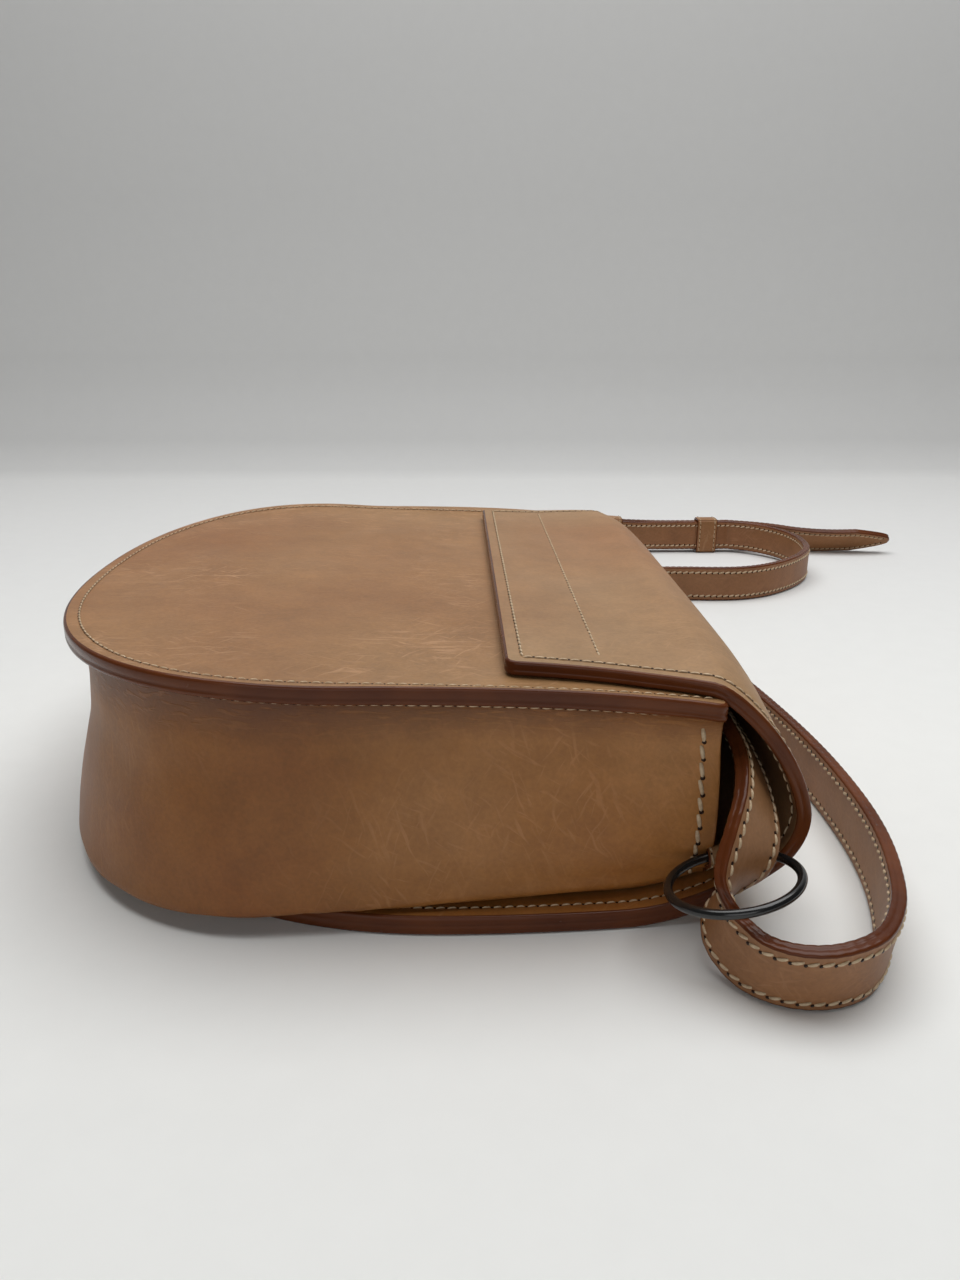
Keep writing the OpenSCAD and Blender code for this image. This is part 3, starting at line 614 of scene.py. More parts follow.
# Dark discs at needle holes and punched holes: painted shade of the holes.
HOLE_SHADE = edge_paint("needle hole", (0.03, 0.012, 0.006), (0.015, 0.006, 0.003))
# Dark brown suede, made darker still to stand in for the shade inside the bag: partly painted
# shade.
SUEDE = suede("suede lining", (0.06, 0.033, 0.018), (0.035, 0.019, 0.01))
BLACK = lacquered_metal("black metal", (0.006, 0.006, 0.006), (0.013, 0.013, 0.013))
STEEL = bare_metal("magnet metal", (0.6, 0.6, 0.6))
BOARD = stiff_board("stiffener board", (0.55, 0.5, 0.42), (0.4675, 0.425, 0.357))

# The three materials of a cut piece: its face, its edge and its back
HIDE = (TAN, EDGE, INNER_TAN)
BACK_HIDE = (TAN, EDGE, GUSSET_TAN)
WALL_HIDE = (GUSSET_TAN, GUSSET_TAN, INNER_TAN)
FLAP_HIDE = (FLAP_TAN, EDGE, INNER_TAN)
STRAP_HIDE = (STRAP_TAN, EDGE, STRAP_TAN)
TAB_HIDE = (TAN, EDGE, TAN)


# What becomes of a finished piece

REPLACED = set()


def dress(piece, body, slot, *nodes):
    """Puts a piece on its body, if one carries it whole, in place of the solids that it shows."""
    REPLACED.update(nodes)
    if body:
        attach(piece, body)
    if nodes:
        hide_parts(*nodes)


def sew(name, place, line, body="bag", slot="tan_leather", depth=0, pitch=FINE_PITCH, **thread):
    """Stitches along a line of (u, v), on a piece's face or, with its thickness as depth, on its
    back."""
    seam = stitch_seam(name, seam_spots(place, line, depth), pitch, **thread)
    dress(seam, body, slot)
    return seam


# Front panel, with the flange of the gusset sewn under its rim

RIM_LIFT = Path([(X_NOSE, 0), (-60 * mm, 0.9 * mm), (-30 * mm, 1.1 * mm), (-8 * mm, 0.8 * mm),
                 (14 * mm, 1.6 * mm), (40 * mm, 2.2 * mm), (62 * mm, 2 * mm), (80 * mm, 1.1 * mm),
                 (X_MOUTH, 0.2 * mm), (PANEL_END, -0.3 * mm)], places=1)
NOSE_ROWS = 34
NOSE_DROOP = 2.2 * mm
DROOP_L = 62 * mm
RIM_SOFT = 5.5 * mm
STEP_W = 2.5 * mm
FRONT_WAVE = 0.2 * mm
FRONT_SAG = 0.25 * mm


def rim_lift(x, gap):
    droop = NOSE_DROOP * max((X_NOSE + DROOP_L - x) / DROOP_L, 0) ** 2
    return RIM_LIFT.at(x - X_NOSE)[1] * bell(gap, 0, RIM_SOFT) - droop


def front_station(t, overhang=0.0, end=X_MOUTH):
    """Station on the rim: t from 0 at the tip to 1 where the side is straight, then to 2."""
    if t <= 1:
        p, n = superellipse(t * math.pi / 2, BODY_W, NOSE_L + overhang)
        return X_NOSE - overhang + p.x, p.y, n.x, n.y
    return mix(X_NOSE + NOSE_L, end, t - 1), BODY_W / 2, 0, 1


def rim_gap(x, y, tip=X_NOSE, nose_l=NOSE_L, w=BODY_W):
    """Rough distance from the rim of a panel."""
    sides = (w / 2 if w == BODY_W else back_half_w(x)) - abs(y)
    if x < tip + nose_l:
        r = (abs(1 - (x - tip) / nose_l) ** NOSE_POWER + abs(2 * y / w) ** NOSE_POWER)
        reach = Vector((tip + nose_l - x, y)).length
        sides = reach * (max(r, 1e-6) ** (-1 / NOSE_POWER) - 1)
    return max(sides, 0)


def thinned(depth, gap, start, total):
    """The flange of the gusset is part of the rim only, so a panel is thinner further in."""
    return depth * mix(1, PANEL_T / total, share(gap, start, start + STEP_W))


def ripple(x, y, z, size, seed=0.0):
    return noise.noise(Vector((x / size + seed, y / size, z / size)))


def front_place(u, v, depth):
    gap = rim_gap(u, v)
    wave = FRONT_WAVE * ripple(u, v, 0, 38 * mm) * min(gap / (12 * mm), 1)
    sag = FRONT_SAG * min(gap / (14 * mm), 1)
    return Vector((u, v, front_top(u) + rim_lift(u, gap) + wave - sag - depth))


def front_hide(u, v, depth):
    return front_place(u, v, thinned(depth, rim_gap(u, v), FLANGE_W, PANEL_T + FRONT_FLANGE_T))


def near_rows(end):
    """Rows that lie as close to an end as the margins do to a side."""
    return [end - m for m in reversed(MARGINS)]


def inside(stations, inset):
    """Points that lie inside a side line, as far as the inset says."""
    return [(x - inset * nx, y - inset * ny) for x, y, nx, ny in stations]


def seam_round(stations):
    """The line of a seam along one side of a panel, round its tip and back along the other."""
    half = inside(stations, SEAM_INSET)
    return [(x, -y) for x, y in reversed(half)] + half[1:]


def front_panel():
    side = [front_station(t, NOSE_OVERHANG) for t in spread(0, 1, 1 / NOSE_ROWS)]
    straight = spread(X_NOSE + NOSE_L, PANEL_END - MARGINS[-1], 5 * mm)[1:-1] + near_rows(PANEL_END)
    side += [(x, BODY_W / 2) for x in straight]
    rim = burnished([PANEL_T, FRONT_FLANGE_T], r=0.9 * mm, groove=0.28 * mm)
    piece = cut_leather("front_panel_hide", Side(side, "point", "edge"), 24, rim, front_hide,
                        channel=0.3 * mm, materials=HIDE)
    dress(piece, "bag", "tan_leather", "front_panel")
    half = []
    for t in spread(0, 1, 0.02) + [1.1, 1.3, 1.5, 1.7, 1.85, 2]:
        x, y, nx, ny = front_station(t, NOSE_OVERHANG, PANEL_END)
        half.append((min(x, PANEL_END - 3 * mm), y, nx, ny))
    sew("front_panel_stitches", front_place, seam_round(half), fat=0.27 * mm, length=0.72, seed=2)


# Back panel

def back_place(u, v, depth):
    return Vector((u, v, back_z(u) + depth))


def back_hide(u, v, depth):
    gap = rim_gap(u, v, BACK_X, BACK_NOSE_L, BACK_W)
    return back_place(u, v, thinned(depth, gap, 2 * FLANGE_W - 1 * mm, PANEL_T + GUSSET_T))


def back_station(t):
    p, n = superellipse(t * math.pi / 2, BACK_W, BACK_NOSE_L)
    return BACK_X + p.x, p.y, n.x, n.y


def back_side(end):
    side = [back_station(t) for t in spread(0, 1, 1 / 40)]
    return side + [(x, back_half_w(x), 0, 1) for x in spread(BACK_WIDE_X, end, 4 * mm)[1:]]


def back_panel():
    rim = burnished([PANEL_T, GUSSET_T], r=0.9 * mm, groove=0.25 * mm)
    side = back_side(SPLIT_X)
    piece = cut_leather("back_panel_hide", Side(side, "point", "join"), 24, rim, back_hide,
                        margins=MARGINS + [2 * FLANGE_W + 2 * mm], channel=0.2 * mm,
                        materials=BACK_HIDE)
    dress(piece, "bag", "tan_leather", "back_panel")
    for where, depth in (("inside", PANEL_T + GUSSET_T), ("outside", 0)):
        sew(f"back_panel_stitches_{where}", back_place, seam_round(side), depth=depth,
            fat=0.3 * mm, length=0.76, seed=3)


# Gusset. Rows of its wall: share of the way from the front outline to the back one, shift out
# at the bottom and at the mouth in flange widths, share of the height at the bottom and the mouth.

WALL_SHARES = [
    (0, -0.25, -0.45, 0.971, 0.966),
    (0, -0.33, -0.7, 0.942, 0.932),
    (0, -0.4, -0.8, 0.89, 0.885),
    (0, -0.45, -0.78, 0.81, 0.79),
    (0.05, -0.3, -0.5, 0.62, 0.62),
    (0.05, 0.1, -0.4, 0.44, 0.44),
    (0.05, 0.48, -0.5, 0.28, 0.3),
    (0.08, 0.82, -0.95, 0.11, 0.19),
    (0.15, 0.85, -1.05, 0.015, 0.13),
    (0.7, -0.1, -1.25, 0.055, 0.1),
    (1, -1.0, -1.3, 0.045, 0.06),
]
MOUTH_HEM = 2.5 * mm
FLOOR_GAP = 0.2 * mm
FLOOR_SOFT = 0.3 * mm
NOSE_STEPS = 10
HALF_COUNT = 16
FRONT_UNDER = PANEL_T + 0.02 * mm
WALL_WAVE = 0.55 * mm
WALL_CREASE = 0.3 * mm
WALL_PUCKER = 0.5 * mm


def front_half(i):
    straight = (i - NOSE_STEPS) / (HALF_COUNT - NOSE_STEPS)
    return front_station(i / NOSE_STEPS if i < NOSE_STEPS else 1 + straight)


def back_half(i):
    x, _, _, _ = front_half(max(i, NOSE_STEPS))
    if i >= NOSE_STEPS:
        return x, back_half_w(x)
    w = 2 * back_half_w(X_NOSE + NOSE_L)
    p, _ = superellipse(i / NOSE_STEPS * math.pi / 2, w, NOSE_L - BACK_INSET)
    return BACK_X + p.x, p.y


def wall_row(i, row):
    back, low_shift, mouth_shift, low_height, mouth_height = row
    m = share(i, NOSE_STEPS / 2, HALF_COUNT) ** 1.5
    fx, fy, nx, ny = front_half(i)
    bx, by = back_half(i)
    shift = mix(low_shift, mouth_shift, m) * FLANGE_W
    x, y = mix(fx, bx, back) + shift * nx, mix(fy, by, back) + shift * ny
    height = mix(low_height, mouth_height, m)
    top = front_top(x) - FRONT_UNDER + rim_lift(x, 0) * share(height, 0.6, 0.95)
    return x, y, mix(back_z(x) + PANEL_T, top, height)


OUTLINE = Path([(*front_half(i)[:2], i) for i in np.linspace(0, HALF_COUNT, 65)], places=2)
WALLS = {}


def wall_at(i):
    key = round(i, 4)
    if key not in WALLS:
        WALLS[key] = Path([wall_row(i, row) for row in WALL_SHARES], steps=8, pace=1 * mm)
    return WALLS[key]


WALL_H = wall_at(12).length


def wall_place(u, v, depth):
    """u runs along the rim from the tip, below zero on the near side, v down the wall."""
    i = OUTLINE.at(abs(u))[2]
    wall = wall_at(i)
    s = (0.5 - v / WALL_H) * wall.length
    p = Vector(wall.at(s))
    down = Vector(wall.along(s, 1.5 * mm))
    after, before = wall_at(min(i + 0.05, HALF_COUNT)), wall_at(max(i - 0.05, 0))
    ahead = Vector(after.at(s)) - Vector(before.at(s))
    out = (ahead if i > 0.05 else Vector((0, 1, 0))).cross(down).normalized()
    high = s / wall.length
    pucker = abs(ripple(u, 0, 0, 7 * mm, 3.1)) * bell(high, 0.16, 0.1)
    soft = ripple(u, v, 0, 34 * mm, 9.2) * math.sin(math.pi * share(high, 0, 1))
    crease = ripple(u + 0.6 * v, v * 2.2, 0, 17 * mm, 4.4) * bell(high, 0.3, 0.16)
    p += out * (WALL_WAVE * soft + WALL_CREASE * crease - WALL_PUCKER * pucker - depth)
    p.x += max(abs(u) - OUTLINE.length, 0)
    floor = FLOOR_GAP + min(depth, 1 * mm)
    p.z = floor + math.log1p(math.exp((p.z - floor) / FLOOR_SOFT)) * FLOOR_SOFT
    if u < 0:
        p.y = -p.y
    return p


def gusset():
    total = OUTLINE.length + MOUTH_HEM
    inner = total - MARGINS[-1]
    rows = [-total + m for m in MARGINS] + spread(-inner, inner, 3.2 * mm)[1:-1] + near_rows(total)
    side = Side([(u, WALL_H / 2) for u in rows], "edge", "edge", corner=1.2 * mm)
    piece = cut_leather("gusset_wall", side, 34, burnished([GUSSET_T], r=0.8 * mm), wall_place,
                        margins=[0, 1.5 * mm, 3 * mm], materials=WALL_HIDE)
    dress(piece, "bag", "side_leather", "gusset")
    for seed, (way, where) in enumerate(SIDES, 4):
        end = way * (total - MOUTH_SEAM_INSET)
        line = [(end, mix(0.42, -0.46, t) * WALL_H) for t in np.linspace(0, 1, 24)]
        sew(f"mouth_stitches_{where}", wall_place, line, slot="side_leather", pitch=BOLD_PITCH,
            fat=0.6 * mm, length=1.04, lean=0.2, seed=seed)
    line = []
    for u in spread(-total + 7 * mm, total - 7 * mm, 4 * mm):
        shown = share(abs(u), 0.62 * total, 0.82 * total)
        line.append((u, mix(0.496, 0.482, shown) * WALL_H))
    sew("rim_stitches", wall_place, line, slot="side_leather", fat=0.22 * mm, seed=6)


# Linings, the slip pocket and the facings inside the mouth

def below(place, gap):
    """The surface that lies deeper than a piece's face by a gap."""
    return lambda u, v, depth: place(u, v, gap + depth)


def lining(name, node, stations, place, start="join", thickness=LINING_T, slot="suede", hide=SUEDE,
           middle=20):
    """A thin plain sheet inside the bag."""
    rim = [(0, 0), (0, thickness / 2), (0, thickness)]
    piece = cut_leather(name, Side(stations, start, "join"), middle, rim, place,
                        margins=[0, 2 * mm], materials=(hide,) * 3)
    dress(piece, "bag", slot, node)


def linings():
    under = PANEL_T + LAYER_GAP
    side = inside([front_station(t) for t in spread(0, 2, 0.05)],
                  FLANGE_W + GUSSET_T + 2 * LINING_T)
    lining("front_lining_suede", "front_lining", side, below(front_place, under), "point")
    side = inside(back_side(X_MOUTH + GUSSET_T), 2 * FLANGE_W + GUSSET_T)
    lining("back_lining_suede", "back_lining", side, below(back_place, under), "point")
    side = [(u, 0.455 * WALL_H) for u in spread(-OUTLINE.length, OUTLINE.length, 4 * mm)]
    lining("wall_lining_suede", "gusset_lining", side, below(wall_place, GUSSET_T + LAYER_GAP))


def mouth_facings():
    under = below(wall_place, GUSSET_T + LINING_T + 2 * LAYER_GAP)
    for way, where in SIDES:
        ends = sorted((way * OUTLINE.length, way * (OUTLINE.length - FACING_W)))
        lining(f"mouth_facing_{where}_hide", f"mouth_facing_{where}",
               [(u, 0.44 * WALL_H) for u in spread(*ends, 2 * mm)], under,
               thickness=FACING_T, slot="tan_leather", hide=SHADED_TAN, middle=16)


def pocket():
    """A sheet sewn to the back lining along three sides, open towards the mouth."""
    start = X_MOUTH - FLANGE_W * 3.5 - POCKET_L
    base = PANEL_T + LINING_T + 2 * LAYER_GAP + POCKET_T

    def sheet(u, v, depth):
        gap = min(u - start, POCKET_W / 2 - abs(v))
        lift = 1.3 * POCKET_T * share(gap, POCKET_WELT / 2, 1.5 * POCKET_WELT)
        lift += 0.3 * mm * ripple(u, v, 0, 30 * mm, 2.2) * min(gap / (20 * mm), 1)
        return back_place(u, v, base + lift - depth)

    side = [(u, POCKET_W / 2) for u in spread(start, start + POCKET_L, 3 * mm)]
    rim = burnished([POCKET_T], r=0.5 * mm)
    piece = cut_leather("slip_pocket", Side(side, "join", "join"), 24, rim, sheet,
                        margins=[0, 1.5 * mm, POCKET_WELT / 2, POCKET_WELT],
                        materials=(SUEDE, SHADED_TAN, SUEDE))
    dress(piece, "bag", "suede", "inner_pocket")
    inset = POCKET_WELT / 3
    low, high, half = start + inset, start + POCKET_L - inset, POCKET_W / 2 - inset
    line = [(u, -half) for u in reversed(spread(low, high, 6 * mm))]
    line += [(low, v) for v in spread(-half, half, 6 * mm)[1:]]
    line += [(u, half) for u in spread(low, high, 6 * mm)[1:]]
    sew("slip_pocket_stitches", sheet, line, slot="suede", fat=0.22 * mm, seed=9)


# Flap: front part, bend over the mouth, and roll down to the back

FLAP_SHARES = [(0, 0), (0.25, 0.1), (0.5, 0.3), (0.75, 0.65), (1, 1)]
ROLL_SHARES = [
    (0.04, 0.999, 0.3), (0.216, 0.967, 0.5), (0.392, 0.916, 0.65), (0.561, 0.847, 0.8),
    (0.718, 0.755, 0.9), (0.855, 0.651, 1), (0.957, 0.547, 1), (1, 0.457, 1),
    (0.965, 0.361, 0.9), (0.847, 0.268, 0.75), (0.647, 0.19, 0.6)
]
FLAP_X = X_MOUTH - FLAP_REACH
HINGE_X = X_MOUTH - 3 * mm


def flap_top(x):
    return front_top(x) + FLAP_GAP + FLAP_T


FLAP_PATH = Path(
    [(x, flap_top(x), mix(FLAP_FRONT_W, FLAP_BEND_W, b) / 2)
     for x, b in ((mix(FLAP_X, HINGE_X, a), b) for a, b in FLAP_SHARES)]
    + [(X_MOUTH + a * ROLL_REACH, b * flap_top(X_MOUTH), mix(FLAP_BEND_W, ROLL_W, c) / 2)
       for a, b, c in ROLL_SHARES]
    + [(SPLIT_X, BACK_RISE, back_half_w(SPLIT_X))], places=2)
ROLL_TURN = FLAP_PATH.furthest(0)
ROLL_SEAM = ROLL_TURN - 20 * mm
SHOULDER = FLAP_PATH.where(0, X_MOUTH + 0.3 * ROLL_REACH)
SWELL = 3.6 * mm
SWELL_L = 15 * mm
SWELL_HALF_W = 108 * mm
SAG = 1.1 * mm
SAG_L = 13 * mm
SAG_W = 26 * mm
FLAP_WAVE = 0.25 * mm


def flap_swell(u, v):
    """The strap inside pushes the middle of the bend out, and its two sides sag."""
    middle = 1 - min(abs(v) / SWELL_HALF_W, 1) ** 5
    side = share(abs(v), SWELL_HALF_W - SAG_W, SWELL_HALF_W) ** 2
    sag = SAG * bell(u, SHOULDER + 5 * mm, SAG_L) * side
    return SWELL * bell(u, SHOULDER, SWELL_L) * middle - sag


def flap_place(u, v, depth):
    x, z, _ = FLAP_PATH.at(u)
    tx, tz = FLAP_PATH.along(u)
    wave = FLAP_WAVE * ripple(u, v, 0, 45 * mm, 6.3) * min(u / (30 * mm), 1)
    wave *= min((FLAP_PATH.length - u) / (20 * mm), 1)
    d = depth - max(wave, 0) - flap_swell(u, v)
    return Vector((x + tz * d, v, z - tx * d))


def flap_sides(rows, inset=0):
    """Points along one side of the flap."""
    return [(u, FLAP_PATH.at(u)[2] - inset) for u in rows]


def flap_part(name, rows, start):
    rim = burnished([FLAP_OUTER_T, FLAP_T - FLAP_OUTER_T], r=0.75 * mm, groove=0.18 * mm)
    return cut_leather(name, Side(flap_sides(rows), start, "join"), 30, rim, flap_place,
                       channel=0.22 * mm, materials=FLAP_HIDE)


def flap():
    rows = MARGINS + spread(MARGINS[-1], ROLL_SEAM, 2.4 * mm)[1:]
    front = flap_part("flap_hide", rows, "edge")
    dress(front, None, "tan_leather", "flap_front", "flap_front_lining", "flap_roll",
          "flap_roll_lining")
    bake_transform(front)
    roll = flap_part("roll_hide", spread(ROLL_SEAM, FLAP_PATH.length, 2 * mm), "join")
    dress(roll, None, "tan_leather", "roll_base", "roll_base_lining")
    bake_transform(roll)


def flap_seams():
    seams = []
    straight = (("flap_front", SEAM_INSET, SEAM_INSET), ("flap_tunnel", TUNNEL_W, 7 * mm))
    for name, u, inset in straight:
        half = FLAP_FRONT_W / 2 - inset
        seams.append((name, [(u, v) for v in spread(-half, half, 6 * mm)]))
    along = (("flap", SEAM_INSET, ROLL_SEAM), ("roll", ROLL_SEAM, FLAP_PATH.length))
    for way, where in SIDES:
        for kind, start, end in along:
            line = flap_sides(spread(start, end, 3 * mm), SEAM_INSET)
            seams.append((f"{kind}_{where}", [(u, way * v) for u, v in line]))
    for seed, (name, line) in enumerate(seams, 20):
        body = "flap" if name in ("flap_front", "flap_tunnel") else None
        fat = (0.27 if name == "flap_tunnel" else 0.32) * mm
        for ending, depth in (("", 0), ("_inside", FLAP_T)):
            seam = sew(f"{name}_stitches{ending}", flap_place, line, body, depth=depth, fat=fat,
                       length=0.85, seed=seed)
            if name.startswith("roll"):
                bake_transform(seam)
            elif not body:
                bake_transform(seam)


# Strap. The rows are those of its solid: X in half lengths of the body, Y in half widths, the
# height of its middle in strap widths, and the direction from its lower edge to its upper edge,
# which is left out where it is straight up.

TWIST_SHARES = [
    (1.121, 0.22, 2.42, -0.6, 0, 0.8), (1.121, 0.5, 2.41, -0.6, 0, 0.8),
    (1.126, 0.732, 2.36, -0.59, 0.13, 0.8), (1.135, 0.897, 2.16, -0.52, 0.35, 0.78),
    (1.118, 1.007, 1.93, -0.61, 0.37, 0.7), (1.087, 1.074, 1.66, -0.72, 0.36, 0.58),
    (1.053, 1.105, 1.37, -0.72, 0.47, 0.52), (1.017, 1.117, 1.14, -0.45, 0.72, 0.52),
    (0.996, 1.137, 0.88, 0.05, 0.84, 0.54)
]
NEAR_SHARES = [
    (1.006, -1.178, 0.655, 0.3, -0.62, 0.72), (1.052, -1.233, 0.52, 0.2, -0.38, 0.9),
    (1.135, -1.274, 0.5, 0.11, -0.27, 0.96), (1.242, -1.279, 0.505, 0.05, -0.2, 0.98),
    (1.356, -1.237, 0.51, 0.08, -0.14, 0.99), (1.449, -1.138, 0.51, 0.1, -0.07, 1),
    (1.511, -1.013, 0.51, 0.08, -0.03, 1), (1.557, -0.871, 0.51, 0.05, 0, 1),
    (1.584, -0.711, 0.51, 0.02, 0, 1), (1.593, -0.516, 0.51), (1.584, -0.32, 0.51),
    (1.558, -0.107, 0.51), (1.517, 0.133, 0.51), (1.461, 0.4, 0.51), (1.404, 0.667, 0.51),
    (1.348, 0.9, 0.51), (1.3, 1.107, 0.51), (1.275, 1.28, 0.51), (1.294, 1.449, 0.51),
    (1.388, 1.591, 0.51), (1.54, 1.65, 0.51), (1.71, 1.653, 0.51), (1.89, 1.643, 0.51),
    (2.067, 1.653, 0.51), (2.24, 1.711, 0.51), (2.404, 1.813, 0.51), (2.539, 1.933, 0.515),
    (2.635, 2.062, 0.525), (2.674, 2.204, 0.54), (2.669, 2.347, 0.56), (2.607, 2.484, 0.58),
    (2.483, 2.596, 0.6)
]
FAR_SHARES = [
    (0.974, 1.205, 0.59, 0.2, 0.32, 0.93), (0.935, 1.289, 0.54, 0.25, 0.15, 0.95),
    (0.893, 1.422, 0.51, 0.08, 0, 1), (0.854, 1.6, 0.51), (0.82, 1.82, 0.51), (0.798, 2.05, 0.52),
    (0.8, 2.27, 0.58), (0.848, 2.46, 0.66)
]
TAIL_SHARES = [(2.2, -0.13, 0.54, 0, -0.28, 0.96), (3.2, -0.3, 0.47, 0, -0.48, 0.88),
               (4.2, -0.42, 0.45, 0, -0.58, 0.81), (5.2, -0.48, 0.47, 0, -0.6, 0.8)]
KEEPER_T = 1.3 * mm
KEEPER_W = 13 * mm
KEEPER_GAP = 0.4 * mm
BUCKLE_WIRE = 3 * mm
BUCKLE_L = 20 * mm
BUCKLE_X = 1.011 * X_MOUTH
HEEL_X = BUCKLE_X + BUCKLE_L
STRAND_Y = 2.658 * BODY_W / 2
LAP_Y = STRAND_Y + STRAP_T + KEEPER_GAP
BUCKLE_Z = STRAP_W / 2 + BUCKLE_WIRE * 1.5 + 0.3 * mm
KEEPER_Z = STRAP_W / 2 + KEEPER_GAP + KEEPER_T + 0.3 * mm
FIXED_X = HEEL_X + KEEPER_W * 1.45
SLIDING_X = HEEL_X + KEEPER_W * 6.3
LEVEL_X = FIXED_X + KEEPER_W * 1.2
STRAIGHT_X = SLIDING_X + KEEPER_W * 0.6
LAP_IN = STRAND_Y - BUCKLE_WIRE / 2 - STRAP_T / 2 - 2 * KEEPER_GAP
LAP_OUT = STRAND_Y + BUCKLE_WIRE / 2 + KEEPER_T + STRAP_T / 2 + 3 * KEEPER_GAP


def strand_z(x):
    return float(np.interp(x, [HEEL_X, LEVEL_X], [BUCKLE_Z, KEEPER_Z]))


def route_row(s, way=1):
    x, y, z, *up = s
    up = up or (0, 0, 1)
    return x * X_MOUTH, way * y * BODY_W / 2, z * STRAP_W, up[0], way * up[1], up[2]


def strap_route():
    strand_x = [HEEL_X + BUCKLE_WIRE * 1.1, FIXED_X, FIXED_X + KEEPER_W * 1.1,
                FIXED_X + KEEPER_W * 2.5, STRAIGHT_X, SLIDING_X + KEEPER_W * 1.2]
    lap = [(BUCKLE_X - BUCKLE_L * 0.4, LAP_IN - STRAP_T * 0.55, BUCKLE_Z - GUSSET_T / 3),
           (BUCKLE_X, LAP_IN, BUCKLE_Z),
           (BUCKLE_X + BUCKLE_L / 2, (LAP_IN + LAP_OUT) / 2, BUCKLE_Z),
           (HEEL_X, LAP_OUT, strand_z(HEEL_X)),
           (HEEL_X + BUCKLE_L * 0.4, mix(LAP_OUT, LAP_Y, 0.8), strand_z(HEEL_X + BUCKLE_L * 0.4)),
           (FIXED_X, LAP_Y, strand_z(FIXED_X)), (FIXED_X + KEEPER_W * 2.5, LAP_Y, KEEPER_Z),
           (STRAIGHT_X, LAP_Y, KEEPER_Z), (SLIDING_X + KEEPER_W * 1.2, LAP_Y, KEEPER_Z)]
    tail = [(SLIDING_X + s[0] * STRAP_W, LAP_Y + s[1] * STRAP_W, s[2] * STRAP_W, *s[3:])
            for s in TAIL_SHARES]
    tip = (SLIDING_X + STRAP_W * 5.2 + TIP_L, LAP_Y - STRAP_W * 0.54, STRAP_W * 0.52, 0, -0.6, 0.8)
    return ([(x, STRAND_Y, strand_z(x), 0, 0, 1) for x in strand_x]
            + [route_row(s) for s in reversed(NEAR_SHARES)]
            + [route_row(s, -1) for s in reversed(TWIST_SHARES)]
            + [route_row(s) for s in TWIST_SHARES]
            + [route_row(s) for s in FAR_SHARES]
            + [(*p, 0, 0, 1) for p in lap] + tail + [tip])


STRAP_PATH = Path(strap_route())
STITCH_PULL = 0.22 * mm


def strap_place(u, v, depth):
    """Each stitch pulls the edges in a little."""
    pull = STITCH_PULL * (0.5 + 0.5 * math.cos(2 * math.pi * u / STRAP_PITCH))
    v -= math.copysign(pull, v) * (1 - share(strap_half(u) - abs(v), 0, 1.6 * mm))
    row = STRAP_PATH.at(u)
    up = Vector(row[3:]).normalized()
    t = Vector(STRAP_PATH.along(u))
    n = up.cross(t).normalized()
    return Vector(row[:3]) + up * v + n * (STRAP_OUTER_T - depth)


def strap_half(u):
    left = STRAP_PATH.length - u
    return STRAP_W / 2 * min(1, (max(left, 0) / TIP_L) ** 0.55 * 0.86 + 0.14)


def strap():
    rows = spread(0, STRAP_PATH.length - TIP_L, STRAP_PITCH / 3)
    tip = (0.15, 0.3, 0.45, 0.6, 0.72, 0.82, 0.9, 0.96, 1)
    rows += [STRAP_PATH.length - TIP_L * (1 - t) for t in tip]
    side = Side([(u, strap_half(u)) for u in rows], "edge", "edge", corner=0.9 * mm)
    rim = burnished([STRAP_OUTER_T, STRAP_T - STRAP_OUTER_T], r=0.7 * mm, groove=0.2 * mm)
    piece = cut_leather("strap_hide", side, 4, rim, strap_place,
                        margins=[0, 1.5 * mm, 2.4 * mm, 3.3 * mm], materials=STRAP_HIDE)
    dress(piece, "bag", "tan_leather", "strap_outer", "strap_inner")
    sewn = spread(3 * mm, STRAP_PATH.length - 5 * mm, 3 * mm)
    for way, edge in ((-1, "lower"), (1, "upper")):
        line = [(u, way * (strap_half(u) - STRAP_SEAM_INSET)) for u in sewn]
        for back, ending in enumerate(("", "_back")):
            sew(f"strap_{edge}_stitches{ending}", strap_place, line, depth=back * STRAP_T,
                pitch=STRAP_PITCH, fat=0.46 * mm, length=0.92, lean=0.32, seed=40 + way + back)


# Small leather: keepers, ring tabs and the chape that holds the buckle

def band(name, points, half_w, axis, thickness, seam_inset=None, body="bag", slot="side_leather",
         nodes=(), hide=HIDE, ends="join"):
    """A strip of leather of even width that follows points, with its width along axis."""
    path = Path(points, steps=10)
    wide = Vector(axis).normalized()

    def place(u, v, depth):
        t = Vector(path.along(u, 0.3 * mm))
        n = wide.cross(t).normalized()
        return Vector(path.at(u)[:3]) + wide * v + n * (thickness / 2 - depth)

    rows = spread(0, path.length, 0.8 * mm)
    side = Side([(u, half_w) for u in rows], ends, ends, corner=1 * mm)
    piece = cut_leather(name, side, 2, burnished([thickness], r=0.5 * mm), place,
                        margins=[0, 0.8 * mm, 1.5 * mm], materials=hide)
    dress(piece, body, slot, *nodes)
    if seam_inset:
        for way, letter in ((-1, "a"), (1, "b")):
            line = [(u, way * (half_w - seam_inset)) for u in spread(0, path.length, 1.5 * mm)]
            sew(f"{name}_stitches_{letter}", place, line, body, slot, fat=0.25 * mm, seed=60 + way)


